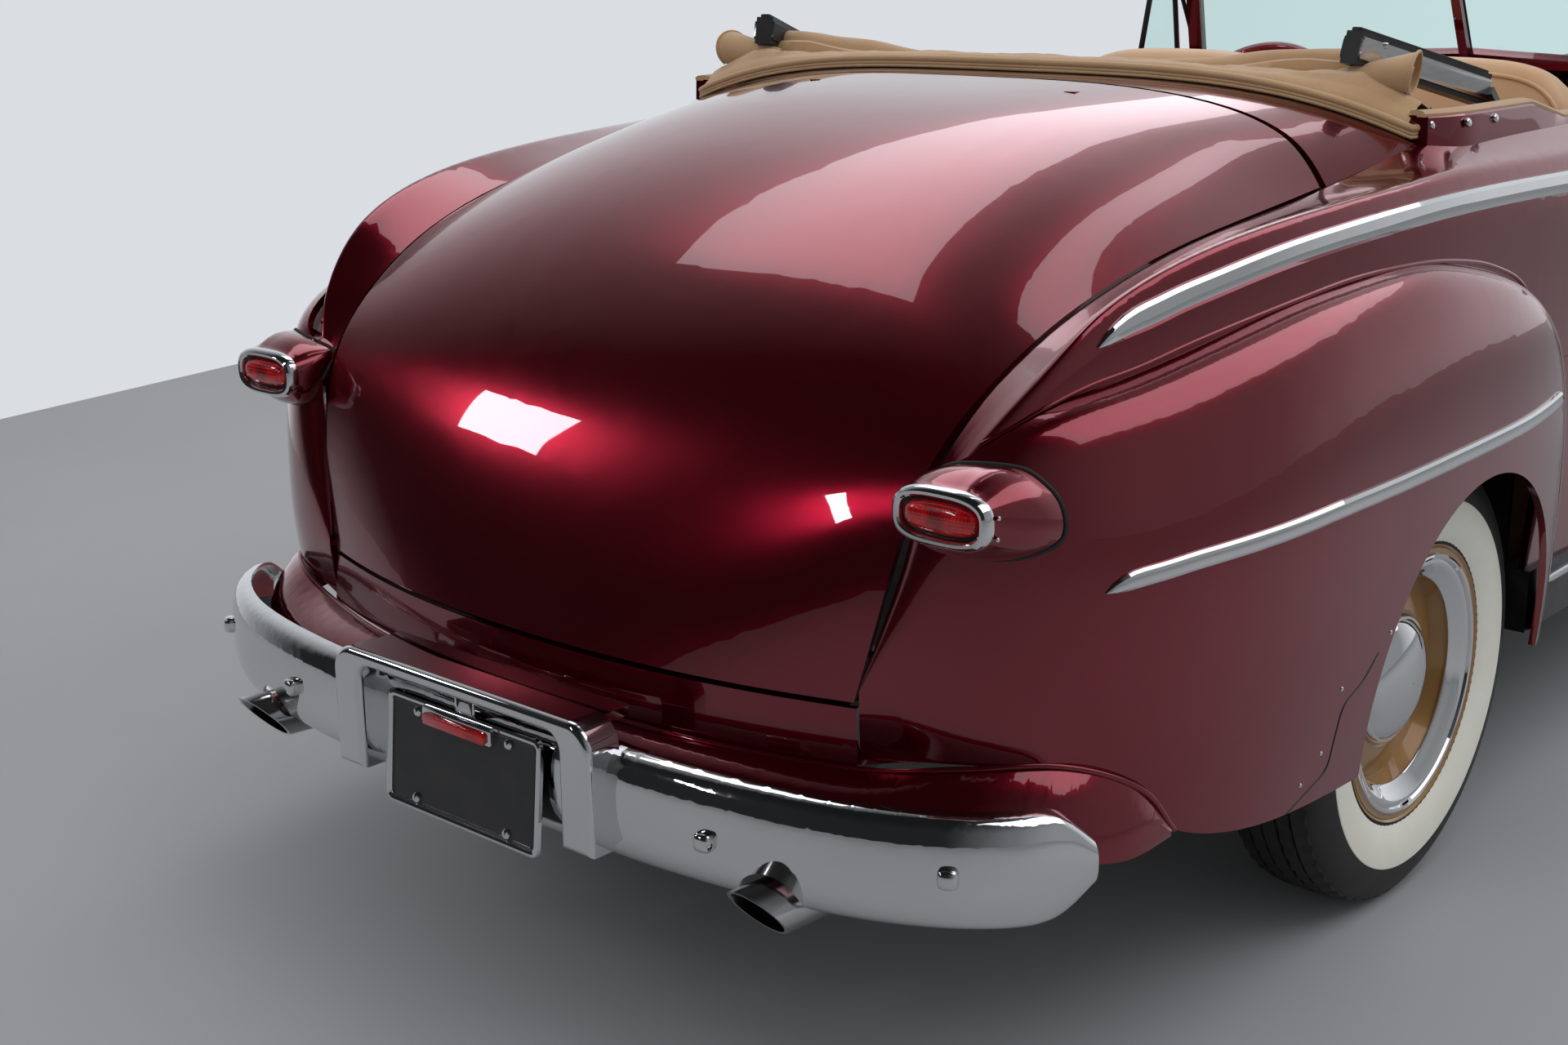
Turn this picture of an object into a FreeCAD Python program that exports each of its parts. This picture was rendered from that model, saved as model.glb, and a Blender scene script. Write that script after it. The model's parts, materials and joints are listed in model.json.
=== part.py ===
import FreeCAD, Part
import math
import os

Vec = FreeCAD.Vector
os.makedirs("parts", exist_ok=True)

# Driving dimensions, millimetres. Front faces -Y, the car's left side is +X, the floor is z = 0.
REAR_AXLE_Y = 1350.0
WHEELBASE = 2997.0
FRONT_AXLE_Y = REAR_AXLE_Y - WHEELBASE
REAR_TRACK = 1524.0
FRONT_TRACK = 1473.0
TYRE_RADIUS = 352.0
TYRE_WIDTH = 166.0
BEAD_RADIUS = 204.0
SKIN = 12.0
SEAM = 6.0
MOVING_GAP = 7.0
DOOR_GAP = 9.0
SEAT_GAP = 0.3

# Doors
DOOR_FRONT_Y = -490.0
DOOR_LENGTH = 1090.0
DOOR_REAR_Y = DOOR_FRONT_Y + DOOR_LENGTH
DOOR_THICK = 90.0
SILL_TOP_Z = 440.0
DOOR_TOP_Z = 1172.0
RAIL_TOP_Z = 1176.0

# Deck
BOOT_LINE_Y = 1295.0
LID_BOTTOM_Z = 537.0
BACK_BOTTOM_Z = 452.0


def track(*stations):
    """A smooth function through (position, value) stations, with no overshoot."""
    xs = [float(s[0]) for s in stations]
    ys = [float(s[1]) for s in stations]
    steps = [b - a for a, b in zip(xs, xs[1:])]
    slopes = [(d - c) / h for c, d, h in zip(ys, ys[1:], steps)]
    tangents = [slopes[0]]
    for left, right, h0, h1 in zip(slopes, slopes[1:], steps, steps[1:]):
        if left * right <= 0:
            tangents.append(0.0)
        else:
            w0, w1 = 2 * h1 + h0, h1 + 2 * h0
            tangents.append((w0 + w1) / (w0 / left + w1 / right))
    tangents.append(slopes[-1])

    def value(x):
        x = min(max(x, xs[0]), xs[-1])
        i = 0
        while i < len(steps) - 1 and x > xs[i + 1]:
            i += 1
        h = steps[i]
        t = (x - xs[i]) / h
        return ((2 * t ** 3 - 3 * t * t + 1) * ys[i] + (t ** 3 - 2 * t * t + t) * h * tangents[i]
                + (3 * t * t - 2 * t ** 3) * ys[i + 1] + (t ** 3 - t * t) * h * tangents[i + 1])
    return value


def rail(*points):
    """A smooth space curve through points, for t from 0 to 1 by chord length."""
    run = [0.0]
    for a, b in zip(points, points[1:]):
        run.append(run[-1] + math.dist(a, b))
    axes = [track(*[(r / run[-1], p[k]) for r, p in zip(run, points)]) for k in range(3)]
    return lambda t: Vec(axes[0](t), axes[1](t), axes[2](t))


def stations(*points):
    """A smooth space curve through points that share their index with another curve."""
    last = len(points) - 1
    axes = [track(*[(i / last, p[k]) for i, p in enumerate(points)]) for k in range(3)]
    return lambda t: Vec(axes[0](t), axes[1](t), axes[2](t))


def spread(count, low=0.0, high=1.0):
    return [low + (high - low) * i / (count - 1) for i in range(count)]


def clamped(count, degree=3):
    """Knots and multiplicities of a clamped uniform spline with this many poles."""
    spans = count - degree
    return list(range(spans + 1)), [degree + 1] + [1] * (spans - 1) + [degree + 1]


def surface(rows):
    """A smooth surface that follows a grid of points and never leaves their hull."""
    u_degree, v_degree = min(3, len(rows) - 1), min(3, len(rows[0]) - 1)
    u_knots, u_mults = clamped(len(rows), u_degree)
    v_knots, v_mults = clamped(len(rows[0]), v_degree)
    net = Part.BSplineSurface()
    net.buildFromPolesMultsKnots(rows, u_mults, v_mults, u_knots, v_knots, False, False, u_degree, v_degree)
    return net


def closed(outer, inner):
    """The solid between two grids of points that have the same layout."""
    rims = []
    faces = [surface(outer).toShape(), surface(inner).toShape()]
    for rows in (outer, inner):
        lines = []
        net = surface(rows)
        u0, u1, v0, v1 = net.bounds()
        for curve in (net.uIso(u0), net.uIso(u1), net.vIso(v0), net.vIso(v1)):
            lines.append(curve.toShape())
        rims.append(lines)
    for a, b in zip(rims[0], rims[1]):
        faces.append(Part.makeRuledSurface(a, b))
    shell = Part.makeShell(faces)
    shell.sewShape()
    solid = Part.makeSolid(shell)
    if solid.Volume < 0:
        solid.reverse()
    return solid


def normals(rows):
    count, width = len(rows), len(rows[0])
    result = []
    for i in range(count):
        line = []
        for j in range(width):
            along = rows[min(i + 1, count - 1)][j] - rows[max(i - 1, 0)][j]
            across = rows[i][min(j + 1, width - 1)] - rows[i][max(j - 1, 0)]
            normal = along.cross(across)
            line.append(normal.normalize())
        result.append(line)
    return result


def panel(rows, thickness, inside=None):
    """A sheet of even thickness on the side of a grid that faces a point inside the car."""
    turned_to = normals(rows)
    i, j = len(rows) // 2, len(rows[0]) // 2
    middle = rows[i][j]
    inside = inside or Vec(0, middle.y * 0.8, 500)
    sign = 1 if turned_to[i][j].dot(inside - middle) > 0 else -1
    inner = [[p + n * (thickness * sign) for p, n in zip(line, ns)] for line, ns in zip(rows, turned_to)]
    return closed(rows, inner)


def grid(function, us, vs):
    return [[function(u, v) for v in vs] for u in us]


def mirrored(shape):
    return shape.mirror(Vec(0, 0, 0), Vec(1, 0, 0))


def box(x0, x1, y0, y1, z0, z1):
    return Part.makeBox(x1 - x0, y1 - y0, z1 - z0, Vec(x0, y0, z0))


def rod(start, end, radius):
    axis = Vec(*end) - Vec(*start)
    return Part.makeCylinder(radius, axis.Length, Vec(*start), axis)


def prism_x(outline, x0, x1):
    """Outline of (y, z) points, extruded from x0 to x1."""
    points = [Vec(x0, y, z) for y, z in outline]
    face = Part.Face(Part.makePolygon(points + points[:1]))
    return face.extrude(Vec(x1 - x0, 0, 0))


def prism_z(outline, z0, z1):
    points = [Vec(x, y, z0) for x, y in outline]
    face = Part.Face(Part.makePolygon(points + points[:1]))
    return face.extrude(Vec(0, 0, z1 - z0))


def turned(outline, centre, side=1):
    """A ring turned about the X axis through centre; outline of (x, radius) points."""
    points = [Vec(centre[0] + side * x, centre[1], centre[2] + r) for x, r in outline]
    face = Part.Face(Part.makePolygon(points + points[:1]))
    return face.revolve(Vec(*centre), Vec(1, 0, 0), 360)


def fused(*shapes):
    return shapes[0].multiFuse(list(shapes[1:])).removeSplitter() if len(shapes) > 1 else shapes[0]


def largest(shape):
    return max(shape.Solids, key=lambda solid: solid.Volume)


nodes = {}


def keep(name, *solids):
    shape = solids[0] if len(solids) == 1 else Part.makeCompound(list(solids))
    nodes[name] = shape
    return shape


# Body side: half width at its waist, and how far the surface leans in above and below it.
side_waist = track((-2400, 640), (-700, 800), (-300, 838), (100, 856), (600, 860), (958, 853), (1300, 845),
                   (1539, 830), (1850, 797), (2140, 742), (2260, 700), (2330, 640))
WAIST_Z = 760.0
LEAN_IN = 58.0
TUCK_IN = 20.0


def side_x(y, z):
    if z > WAIST_Z:
        return side_waist(y) - LEAN_IN * ((z - WAIST_Z) / (RAIL_TOP_Z - WAIST_Z)) ** 2
    return side_waist(y) - TUCK_IN * ((WAIST_Z - z) / 400.0) ** 2


# Deck: its centre line and the lid's side seam, station by station, from the boot line to the lid's bottom.
deck_centre = stations((0, BOOT_LINE_Y, 1247), (0, 1400, 1245), (0, 1600, 1226), (0, 1800, 1178),
                       (0, 2000, 1095), (0, 2160, 990), (0, 2280, 865), (0, 2360, 735), (0, 2408, 625),
                       (0, 2431, LID_BOTTOM_Z))
deck_edge = stations((742, BOOT_LINE_Y, 1165), (712, 1400, 1135), (688, 1520, 1108), (666, 1820, 1068),
                     (638, 2050, 1003), (615, 2190, 925), (597, 2270, 853), (582, 2312, 770),
                     (563, 2335, 660), (533, 2348, LID_BOTTOM_Z))
deck_crown = track((0, 3.6), (0.5, 3.0), (0.75, 2.5), (1, 2.2))


def deck(f, t):
    """A point on the deck: f runs from -1 to 1 across, t from 0 at the boot line to 1 at the bottom."""
    centre, edge = deck_centre(t), deck_edge(t)
    drop = abs(f) ** deck_crown(t)
    return Vec(f * edge.x, centre.y + (edge.y - centre.y) * drop, centre.z + (edge.z - centre.z) * drop)


def lid_front(f):
    return 0.111 + 0.085 * abs(f) ** 10


LID_FRONT_GAP = (MOVING_GAP / 2 + 0.5) / 945.0
LID_HALF = 1.0 - SEAM / 2 / 600.0


def lid_point(a, t):
    f = a * LID_HALF
    start = lid_front(f) + LID_FRONT_GAP * (1 + abs(f) ** 8)
    return deck(f, start + (1.0 - start) * t)


def boot_panel_point(f, t):
    return deck(f, (lid_front(f) - LID_FRONT_GAP) * t)


deck_lid = panel(grid(lid_point, spread(21, -1, 1), spread(17)), SKIN)
boot_panel = panel(grid(boot_panel_point, spread(21, -1, 1), spread(4)), SKIN)


def lower_back_point(f, t):
    edge = deck(f, 1.0)
    top = LID_BOTTOM_Z - MOVING_GAP - 1
    return Vec(edge.x * (1 + 0.012 * t), edge.y + 3 * t, top + (BACK_BOTTOM_Z - top) * t)


lower_back = panel(grid(lower_back_point, spread(15, -1, 1), spread(3)), SKIN)
HINGE_ROOM = 1.5


def barrels(start, axis, leaf, length=20.0, radius=5.0):
    """Three hinge barrels in a row, the middle one moving: fixed, moving and the room round each."""
    fixed, moving, fixed_room, moving_room = [], [], [], []
    for i in range(3):
        foot = start + axis * (i * (length + SEAT_GAP))
        wide = Part.makeCylinder(radius + HINGE_ROOM, length + 0.2, foot - axis * 0.1, axis)
        piece = Part.makeCylinder(radius, length, foot, axis).fuse(leaf(foot, i == 1, 0.0))
        room = wide.fuse(leaf(foot, i == 1, HINGE_ROOM))
        (moving if i == 1 else fixed).append(piece)
        (moving_room if i == 1 else fixed_room).append(room)
    return fixed, moving, fixed_room, moving_room


def joined(base, added, removed):
    """A panel with its own hinge leaves, cut clear of the other side's."""
    return largest(fused(base.cut(Part.makeCompound(removed)), *added))


LID_AXIS = Vec(0, 1480, 1225)
LEAF_REACH = 14.0
ARM_DROP, ARM_FRONT_Y, ARM_THICK = 92.0, 1372.0, 9.0


def lid_leaf(start, moves, grow):
    """A block under the lid, or the arm that goes down round the lid's front edge to the panel before it."""
    if moves:
        return box(start.x, start.x + 20, start.y - 4 - grow, start.y + LEAF_REACH + grow, start.z - grow,
                   start.z + 9 + grow)
    if grow:
        return box(start.x - grow, start.x + 20 + grow, start.y - 17, start.y + 7, start.z - 14, start.z + 3)
    foot_z = start.z - ARM_DROP
    outline = [(start.y - ARM_THICK / 2, start.z), (start.y + ARM_THICK / 2, start.z),
               (start.y + ARM_THICK / 2, foot_z - ARM_THICK), (ARM_FRONT_Y, foot_z - ARM_THICK),
               (ARM_FRONT_Y, start.z + 15), (ARM_FRONT_Y + ARM_THICK, start.z + 15),
               (ARM_FRONT_Y + ARM_THICK, foot_z), (start.y - ARM_THICK / 2, foot_z)]
    return prism_x(outline, start.x, start.x + 20)


for hinge_x in (-290, 230):
    fixed, moving, fixed_room, moving_room = barrels(Vec(hinge_x, LID_AXIS.y, LID_AXIS.z), Vec(1, 0, 0), lid_leaf)
    boot_panel = joined(boot_panel, fixed, moving_room)
    deck_lid = joined(deck_lid, moving, fixed_room)
keep("deck_lid", deck_lid)
keep("deck_surround", boot_panel, lower_back)

# Quarter panels: from the cockpit rail and the lid's seam, over the shoulder, to behind the fender.
quarter_inner = rail((760, DOOR_REAR_Y + DOOR_GAP, RAIL_TOP_Z), (758, 950, RAIL_TOP_Z), (745, 1290, 1167),
                     (714, 1400, 1135), (691, 1520, 1108), (669, 1820, 1068), (641, 2050, 1003),
                     (619, 2190, 925), (606, 2262, 862), (600, 2285, 826))
quarter_belt = rail((848, DOOR_REAR_Y + DOOR_GAP, 1092), (844, 969, 1094), (834, 1304, 1098), (820, 1539, 1090),
                    (801, 1740, 1076), (779, 1912, 1055), (758, 2032, 1026), (733, 2138, 984),
                    (700, 2225, 905), (654, 2268, 862), (615, 2292, 810))
quarter_foot = rail((852, DOOR_REAR_Y + DOOR_GAP, 800), (848, 950, 800), (840, 1122, 850), (829, 1414, 930),
                    (802, 1732, 925), (780, 1906, 905), (752, 2055, 885), (712, 2186, 870),
                    (680, 2250, 850), (645, 2272, 822), (622, 2286, 792))
shoulder_share = track((0, 1), (0.8, 1), (0.93, 0.5), (1, 0))


def quarter_point(t, c):
    inner, belt, foot = quarter_inner(t), quarter_belt(t), quarter_foot(t)
    share = shoulder_share(t)
    shoulder = belt + Vec(-16, 0, 34) * share
    if c < 0.5:
        s = c / 0.5
        return inner * (1 - s) ** 2 + (inner * 0.45 + shoulder * 0.55 + Vec(0, 0, -4)) * 2 * s * (1 - s) + shoulder * s ** 2
    s = (c - 0.5) / 0.5
    return shoulder * (1 - s) ** 2 + (belt + Vec(4, 0, 10) * share) * 2 * s * (1 - s) + foot * s ** 2


quarter_top = panel(grid(quarter_point, spread(21), spread(11)), SKIN).cut(boot_panel)


def quarter_low_point(t, c):
    y = DOOR_REAR_Y + DOOR_GAP + (948 - DOOR_REAR_Y - DOOR_GAP) * t
    z = SILL_TOP_Z + (798 - SILL_TOP_Z) * c
    return Vec(side_x(y, z) - 8, y, z)


quarter_low = panel(grid(quarter_low_point, spread(5), spread(6)), SKIN)
keep("quarters", quarter_top, quarter_low, mirrored(quarter_top), mirrored(quarter_low))

# Rear fenders: from the seam on the body, over the crown, to the outer contour and down.
fender_seam = stations((850, 905, 620), (846, 947, 830), (841, 1060, 925), (835, 1250, 986), (824, 1470, 1015),
                       (806, 1690, 1004), (782, 1890, 976), (750, 2060, 944), (716, 2192, 918),
                       (668, 2280, 872), (612, 2300, 834), (578, 2320, 700), (541, 2350, 560))
fender_outer = stations((862, 900, 600), (884, 960, 600), (904, 1080, 600), (917, 1260, 600), (920, 1470, 600),
                        (914, 1700, 600), (900, 1890, 600), (868, 2060, 600), (818, 2190, 600),
                        (748, 2278, 600), (668, 2326, 600), (598, 2346, 600), (543, 2354, 545))
fender_foot_z = track((0, 330), (0.42, 322), (0.5, 325), (0.58, 350), (0.62, 385), (0.65, 440), (0.69, 474),
                      (0.75, 482), (0.84, 478), (1, BACK_BOTTOM_Z))
fender_fall = track((0, 0.4), (0.1, 1.0), (0.75, 1.0), (0.88, 0.5), (1, 0.0))


def rear_fender_point(u, v):
    seam, outer, foot_z = fender_seam(u), fender_outer(u), fender_foot_z(u)
    low_share = 0.35
    if v < low_share:
        s = v / low_share
        z = foot_z + (outer.z - foot_z) * s
        tuck = 14.0 * (1 - s) ** 2
        inward = Vec(seam.x - outer.x, seam.y - outer.y, 0)
        if inward.Length > 1:
            inward.normalize()
        return Vec(outer.x, outer.y, z) + inward * tuck
    a = (v - low_share) / (1 - low_share) * math.pi / 2
    rise = math.sin(a) ** 0.85
    reach = 1 - math.cos(a) ** 0.85
    k = fender_fall(u)
    reach = k * reach + (1 - k) * (a / (math.pi / 2)) ** 2
    return Vec(outer.x + (seam.x - outer.x) * reach, outer.y + (seam.y - outer.y) * reach,
               outer.z + (seam.z - outer.z) * rise)


ARCH_RADIUS = 345.0
rear_fender = panel(grid(rear_fender_point, spread(33), spread(17)), SKIN)
rear_arch = rod((600, REAR_AXLE_Y - 16, 348), (1000, REAR_AXLE_Y - 16, 348), ARCH_RADIUS)
rear_arch = rear_arch.fuse(box(600, 1000, REAR_AXLE_Y - 16 - ARCH_RADIUS, REAR_AXLE_Y - 16 + ARCH_RADIUS, 200, 348))
rear_fender = max(rear_fender.cut(rear_arch).cut(quarter_top).cut(quarter_low).Solids, key=lambda solid: solid.Volume)
keep("rear_fenders", rear_fender, mirrored(rear_fender))

# Cowl: a thick shell over the foot well, from the hood's rear edge to the doors.
COWL_FRONT_Y = -757.0
HINGE_Y = DOOR_FRONT_Y - DOOR_GAP / 2
HINGE_X = 822.0
HINGE_HEIGHTS = (500.0, 960.0)
COWL_REAR_Y = DOOR_FRONT_Y - DOOR_GAP
cowl_half = track((COWL_FRONT_Y, 742), (-660, 783), (COWL_REAR_Y, side_waist(COWL_REAR_Y)))
cowl_top_z = track((COWL_FRONT_Y, 1166), (COWL_REAR_Y, 1184))


def cowl_point(y, c):
    side = 1 if c > 0 else -1
    c = abs(c)
    shoulder_z = 940.0
    if c > 0.7:
        z = shoulder_z + (SILL_TOP_Z - shoulder_z) * (c - 0.7) / 0.3
        return Vec(side * (cowl_half(y) - side_waist(y) + side_x(y, z)), y, z)
    a = c / 0.7 * math.pi / 2
    half = cowl_half(y) - side_waist(y) + side_x(y, shoulder_z)
    return Vec(side * half * math.sin(a) ** 0.42, y, shoulder_z + (cowl_top_z(y) - shoulder_z) * math.cos(a) ** 0.42)


cowl = panel(grid(cowl_point, spread(6, COWL_FRONT_Y, COWL_REAR_Y), spread(61, -1, 1)), SKIN, Vec(0, -660, 700))
FIREWALL_Y = -700.0
FLOOR_Z = 372.0
firewall = box(-728, 728, FIREWALL_Y, FIREWALL_Y + 7, FLOOR_Z, 1085)
keep("cowl", cowl)

# Hood: hinged at the cowl, its lower edges along the fenders, its nose above the grille shell.
HOOD_REAR_Y = COWL_FRONT_Y - MOVING_GAP
hood_spine = stations((0, HOOD_REAR_Y, 1166), (0, -1000, 1152), (0, -1300, 1125), (0, -1600, 1086),
                      (0, -1850, 1038), (0, -2060, 978), (0, -2220, 900), (0, -2310, 820), (0, -2345, 748))
hood_edge = stations((737, HOOD_REAR_Y, 935), (690, -1000, 930), (625, -1300, 915), (555, -1600, 893),
                     (485, -1850, 866), (410, -2040, 836), (320, -2170, 805), (220, -2265, 775), (120, -2318, 745))
hood_fullness = track((0, 0.42), (0.3, 0.55), (0.7, 0.8), (1, 0.9))


def hood_point(t, c):
    side = 1 if c > 0 else -1
    a = abs(c) * math.pi / 2
    spine, edge, power = hood_spine(t), hood_edge(t), hood_fullness(t)
    out = math.sin(a) ** power
    down = 1 - math.cos(a) ** power
    return Vec(side * edge.x * out, spine.y + (edge.y - spine.y) * down, spine.z + (edge.z - spine.z) * down)




def hood_leaf(start, moves, grow):
    y0, y1 = (start.y - LEAF_REACH, start.y) if moves else (start.y, start.y + LEAF_REACH)
    return box(start.x, start.x + 20, y0 - grow, y1 + grow, start.z - 4 - grow, start.z + 1 + grow)


HOOD_AXIS = Vec(0, COWL_FRONT_Y - MOVING_GAP / 2, 1158)
hood = panel(grid(hood_point, spread(25), spread(41, -1, 1)), SKIN, Vec(0, -1700, 600))
for hinge_x in (-330, 270):
    fixed, moving, fixed_room, moving_room = barrels(Vec(hinge_x, HOOD_AXIS.y, HOOD_AXIS.z), Vec(1, 0, 0), hood_leaf)
    cowl = joined(cowl, fixed, moving_room)
    hood = joined(hood, moving, fixed_room)
keep("hood", hood)

# Front fenders: from the catwalk beside the hood, over the crown, to the outer contour and down.
FENDER_REAR_Y = DOOR_FRONT_Y - DOOR_GAP
front_inner = stations((806, FENDER_REAR_Y, 890), (784, -660, 917), (746, -775, 937), (699, -1000, 932), (634, -1300, 917),
                       (565, -1590, 896), (496, -1840, 870), (438, -2020, 842), (384, -2120, 818),
                       (428, -2200, 784), (488, -2262, 738), (488, -2282, 650), (488, -2292, 560))
front_outer = stations((842, FENDER_REAR_Y, 620), (872, -660, 620), (896, -820, 620), (914, -1080, 620), (926, -1380, 620),
                       (928.5, -1640, 620), (920, -1900, 620), (896, -2070, 620), (848, -2210, 620),
                       (775, -2300, 620), (680, -2342, 615), (580, -2352, 600), (489, -2345, 560))
front_crown = track((0, 0), (0.2, 12), (0.42, 55), (0.62, 120), (0.75, 150), (0.86, 60), (1, 0))
front_foot_z = track((0, SILL_TOP_Z), (0.3, 360), (0.5, 350), (0.7, 400), (0.8, 440), (1, 455))


def front_fender_point(u, v):
    seam, outer, foot_z = front_inner(u), front_outer(u), front_foot_z(u)
    low_share = 0.3
    if v < low_share:
        s = v / low_share
        inward = Vec(seam.x - outer.x, seam.y - outer.y, 0).normalize()
        return Vec(outer.x, outer.y, foot_z + (outer.z - foot_z) * s) + inward * (14.0 * (1 - s) ** 2)
    a = (v - low_share) / (1 - low_share) * math.pi / 2
    rise = math.sin(a) ** 0.85
    reach = 1 - math.cos(a) ** 0.85
    return Vec(outer.x + (seam.x - outer.x) * reach, outer.y + (seam.y - outer.y) * reach,
               outer.z + (seam.z - outer.z) * rise + front_crown(u) * math.sin(2 * a))


FRONT_ARCH_RADIUS = 392.0
front_fender = panel(grid(front_fender_point, spread(33), spread(17)), SKIN, Vec(500, -1500, 500))
front_arch = rod((500, FRONT_AXLE_Y, 352), (1000, FRONT_AXLE_Y, 352), FRONT_ARCH_RADIUS).fuse(
    box(500, 1000, FRONT_AXLE_Y - FRONT_ARCH_RADIUS, FRONT_AXLE_Y + FRONT_ARCH_RADIUS, 200, 352))
HEAD = Vec(652, -2300, 748)
HEAD_RADIUS = 96.0
lamp_hole = Part.makeCylinder(HEAD_RADIUS + SEAT_GAP, 300, HEAD + Vec(0, -100, 0), Vec(0, 1, 0))
front_fender = front_fender.cut(front_arch).cut(lamp_hole).cut(cowl)
front_fender = max(front_fender.Solids, key=lambda solid: solid.Volume)
keep("front_fenders", front_fender, mirrored(front_fender))

# Floor, sills, wheelhouses, firewall and the inner quarter walls; the steering column passes through.
WHEEL_CENTRE = Vec(380, -266, 1039)
COLUMN_AXIS = Vec(0, 0.85, 0.527).normalize()
FLOOR_THICK = 12.0
SILL_X0 = 795.0
RISER_Y = 1060.0
TRUNK_FLOOR_Z = 588.0
FLOOR_TOP_Z = FLOOR_Z + FLOOR_THICK
WELL_FRONT_Y = 930.0
pan = box(-800, 800, FIREWALL_Y + 6, WELL_FRONT_Y + 12, FLOOR_Z, FLOOR_TOP_Z).fuse(
    box(-646, 646, WELL_FRONT_Y, RISER_Y + 5, FLOOR_Z, FLOOR_TOP_Z))
riser = box(-640, 640, RISER_Y, RISER_Y + FLOOR_THICK, FLOOR_Z, TRUNK_FLOOR_Z + FLOOR_THICK)
trunk_floor = box(-640, 640, RISER_Y, 2320, TRUNK_FLOOR_Z, TRUNK_FLOOR_Z + FLOOR_THICK)
floor_parts = [pan, riser, trunk_floor]
for side in (1, -1):
    x0, x1 = sorted((side * SILL_X0, side * 842))
    floor_parts.append(box(x0, x1, COWL_FRONT_Y, 948, FLOOR_Z - 40, SILL_TOP_Z - SEAT_GAP))
    x0, x1 = sorted((side * 636, side * 646))
    floor_parts.append(box(x0, x1, WELL_FRONT_Y, 1760, FLOOR_Z, 757))
    x0, x1 = sorted((side * 636, side * 820))
    floor_parts.append(box(x0, x1, WELL_FRONT_Y, 1760, 745, 757))
    x0, x1 = sorted((side * 795, side * 636))
    floor_parts.append(box(x0, x1, WELL_FRONT_Y, WELL_FRONT_Y + 12, FLOOR_Z, 757))
column_start = WHEEL_CENTRE - COLUMN_AXIS * (16 + SEAT_GAP)
column = rod(tuple(column_start), tuple(WHEEL_CENTRE - COLUMN_AXIS * 1165), 24)
steering_box = box(345, 440, -1300, -1210, 370 + SEAT_GAP, 455)
column = fused(column, steering_box)
axle_room = box(-700, 700, REAR_AXLE_Y - 60, REAR_AXLE_Y + 60, FLOOR_Z - 5, FLOOR_Z + 110)
fenders = [front_fender, mirrored(front_fender), rear_fender, mirrored(rear_fender)]
floor = largest(fused(*floor_parts, firewall).cut(Part.makeCompound([column, cowl, axle_room] + fenders)))
keep("floor", floor)
TRIM_TOP_Z = 1140.0
inner_wall = box(690, 740, DOOR_REAR_Y + DOOR_GAP, 928, FLOOR_TOP_Z + SEAT_GAP, TRIM_TOP_Z)
keep("quarter_trims", inner_wall, mirrored(inner_wall))

# Grille shell and bars.
SHELL_TOP_Z = 734.0


def nose_point(x, z):
    return Vec(x, -2338 + 66 * (x / 490.0) ** 2 + 14 * ((z - 600) / 150.0) ** 2, z)


def shell_point(x, v):
    """The shell's face, and above it the catwalk up to the hood's edge."""
    if v <= 0.75:
        return nose_point(x, 445 + (SHELL_TOP_Z - 10 - 445) * v / 0.75)
    face = nose_point(x, SHELL_TOP_Z - 10)
    t = 1.0 - 0.30 * max(0.0, (abs(x) - 110) / (486 - 110))
    edge = hood_edge(t)
    if abs(x) < 110:
        edge = Vec(abs(x), -2318 - 22 * (1 - (x / 110.0) ** 2), 733)
    target = Vec(math.copysign(edge.x + 8 if abs(x) >= 110 else abs(x), x), edge.y, edge.z - 12)
    s = (v - 0.75) / 0.25
    return face * (1 - s) + target * s


nose = panel(grid(shell_point, spread(25, -487.7, 487.7), spread(13)), SKIN, Vec(0, -2000, 600))
grille_hole = box(-400, 400, -2500, -2200, 490, 690)
grille_hole = grille_hole.makeFillet(60, [e for e in grille_hole.Edges if abs(e.tangentAt(e.FirstParameter).y) > 0.99])
keep("grille_shell", nose.cut(grille_hole).cut(Part.makeCompound([front_fender, mirrored(front_fender), hood])))
grille_slab = panel(grid(lambda x, z: nose_point(x, z) + Vec(0, 2, 0), spread(17, -398, 398), spread(9, 492, 688)),
                    24, Vec(0, -2000, 600))
slots = []
BAR_COUNT = 5
bar_pitch = (688 - 492) / BAR_COUNT
for i in range(BAR_COUNT):
    low = 492 + i * bar_pitch + 12
    for x0, x1 in ((-380, -8), (8, 380)):
        slots.append(box(x0, x1, -2500, -2200, low, low + bar_pitch - 18))
grille = grille_slab.common(grille_hole.makeOffsetShape(-SEAT_GAP, 0.01))
grille = grille.cut(Part.makeCompound(slots))
keep("grille", grille)

# Splash pans between the body and the bumpers.
PAN_TOP_Z = BACK_BOTTOM_Z - SEAT_GAP
pan_inner = stations((0, 2432, PAN_TOP_Z), (300, 2420, PAN_TOP_Z), (541, 2356, PAN_TOP_Z), (674, 2318, 475),
                     (775, 2236, 480), (832, 2150, 438), (852, 2100, 372))
pan_outer = stations((0, 2490, 436), (300, 2478, 436), (543, 2430, 440), (690, 2372, 446), (800, 2282, 440),
                     (850, 2190, 407), (858, 2118, 380))
pan_lower = stations((0, 2496, 392), (300, 2484, 392), (543, 2436, 390), (700, 2376, 384), (800, 2284, 372),
                     (849, 2190, 362), (855, 2112, 368))


def splash_point(u, v):
    side = 1 if u > 0 else -1
    inner, outer, lower = pan_inner(abs(u)), pan_outer(abs(u)), pan_lower(abs(u))
    point = inner * (1 - v) ** 2 + outer * 2 * v * (1 - v) + lower * v ** 2
    return Vec(side * point.x, point.y, point.z)


rear_pan = panel(grid(splash_point, spread(31, -1, 1), spread(7)), 6, Vec(0, 2200, 300))
front_pan_inner = stations((0, -2322, 444.6), (300, -2312, 444.6), (543, -2330, 444.6), (690, -2318, 442),
                           (775, -2262, 432), (822, -2190, 412), (846, -2130, 392))


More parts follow.
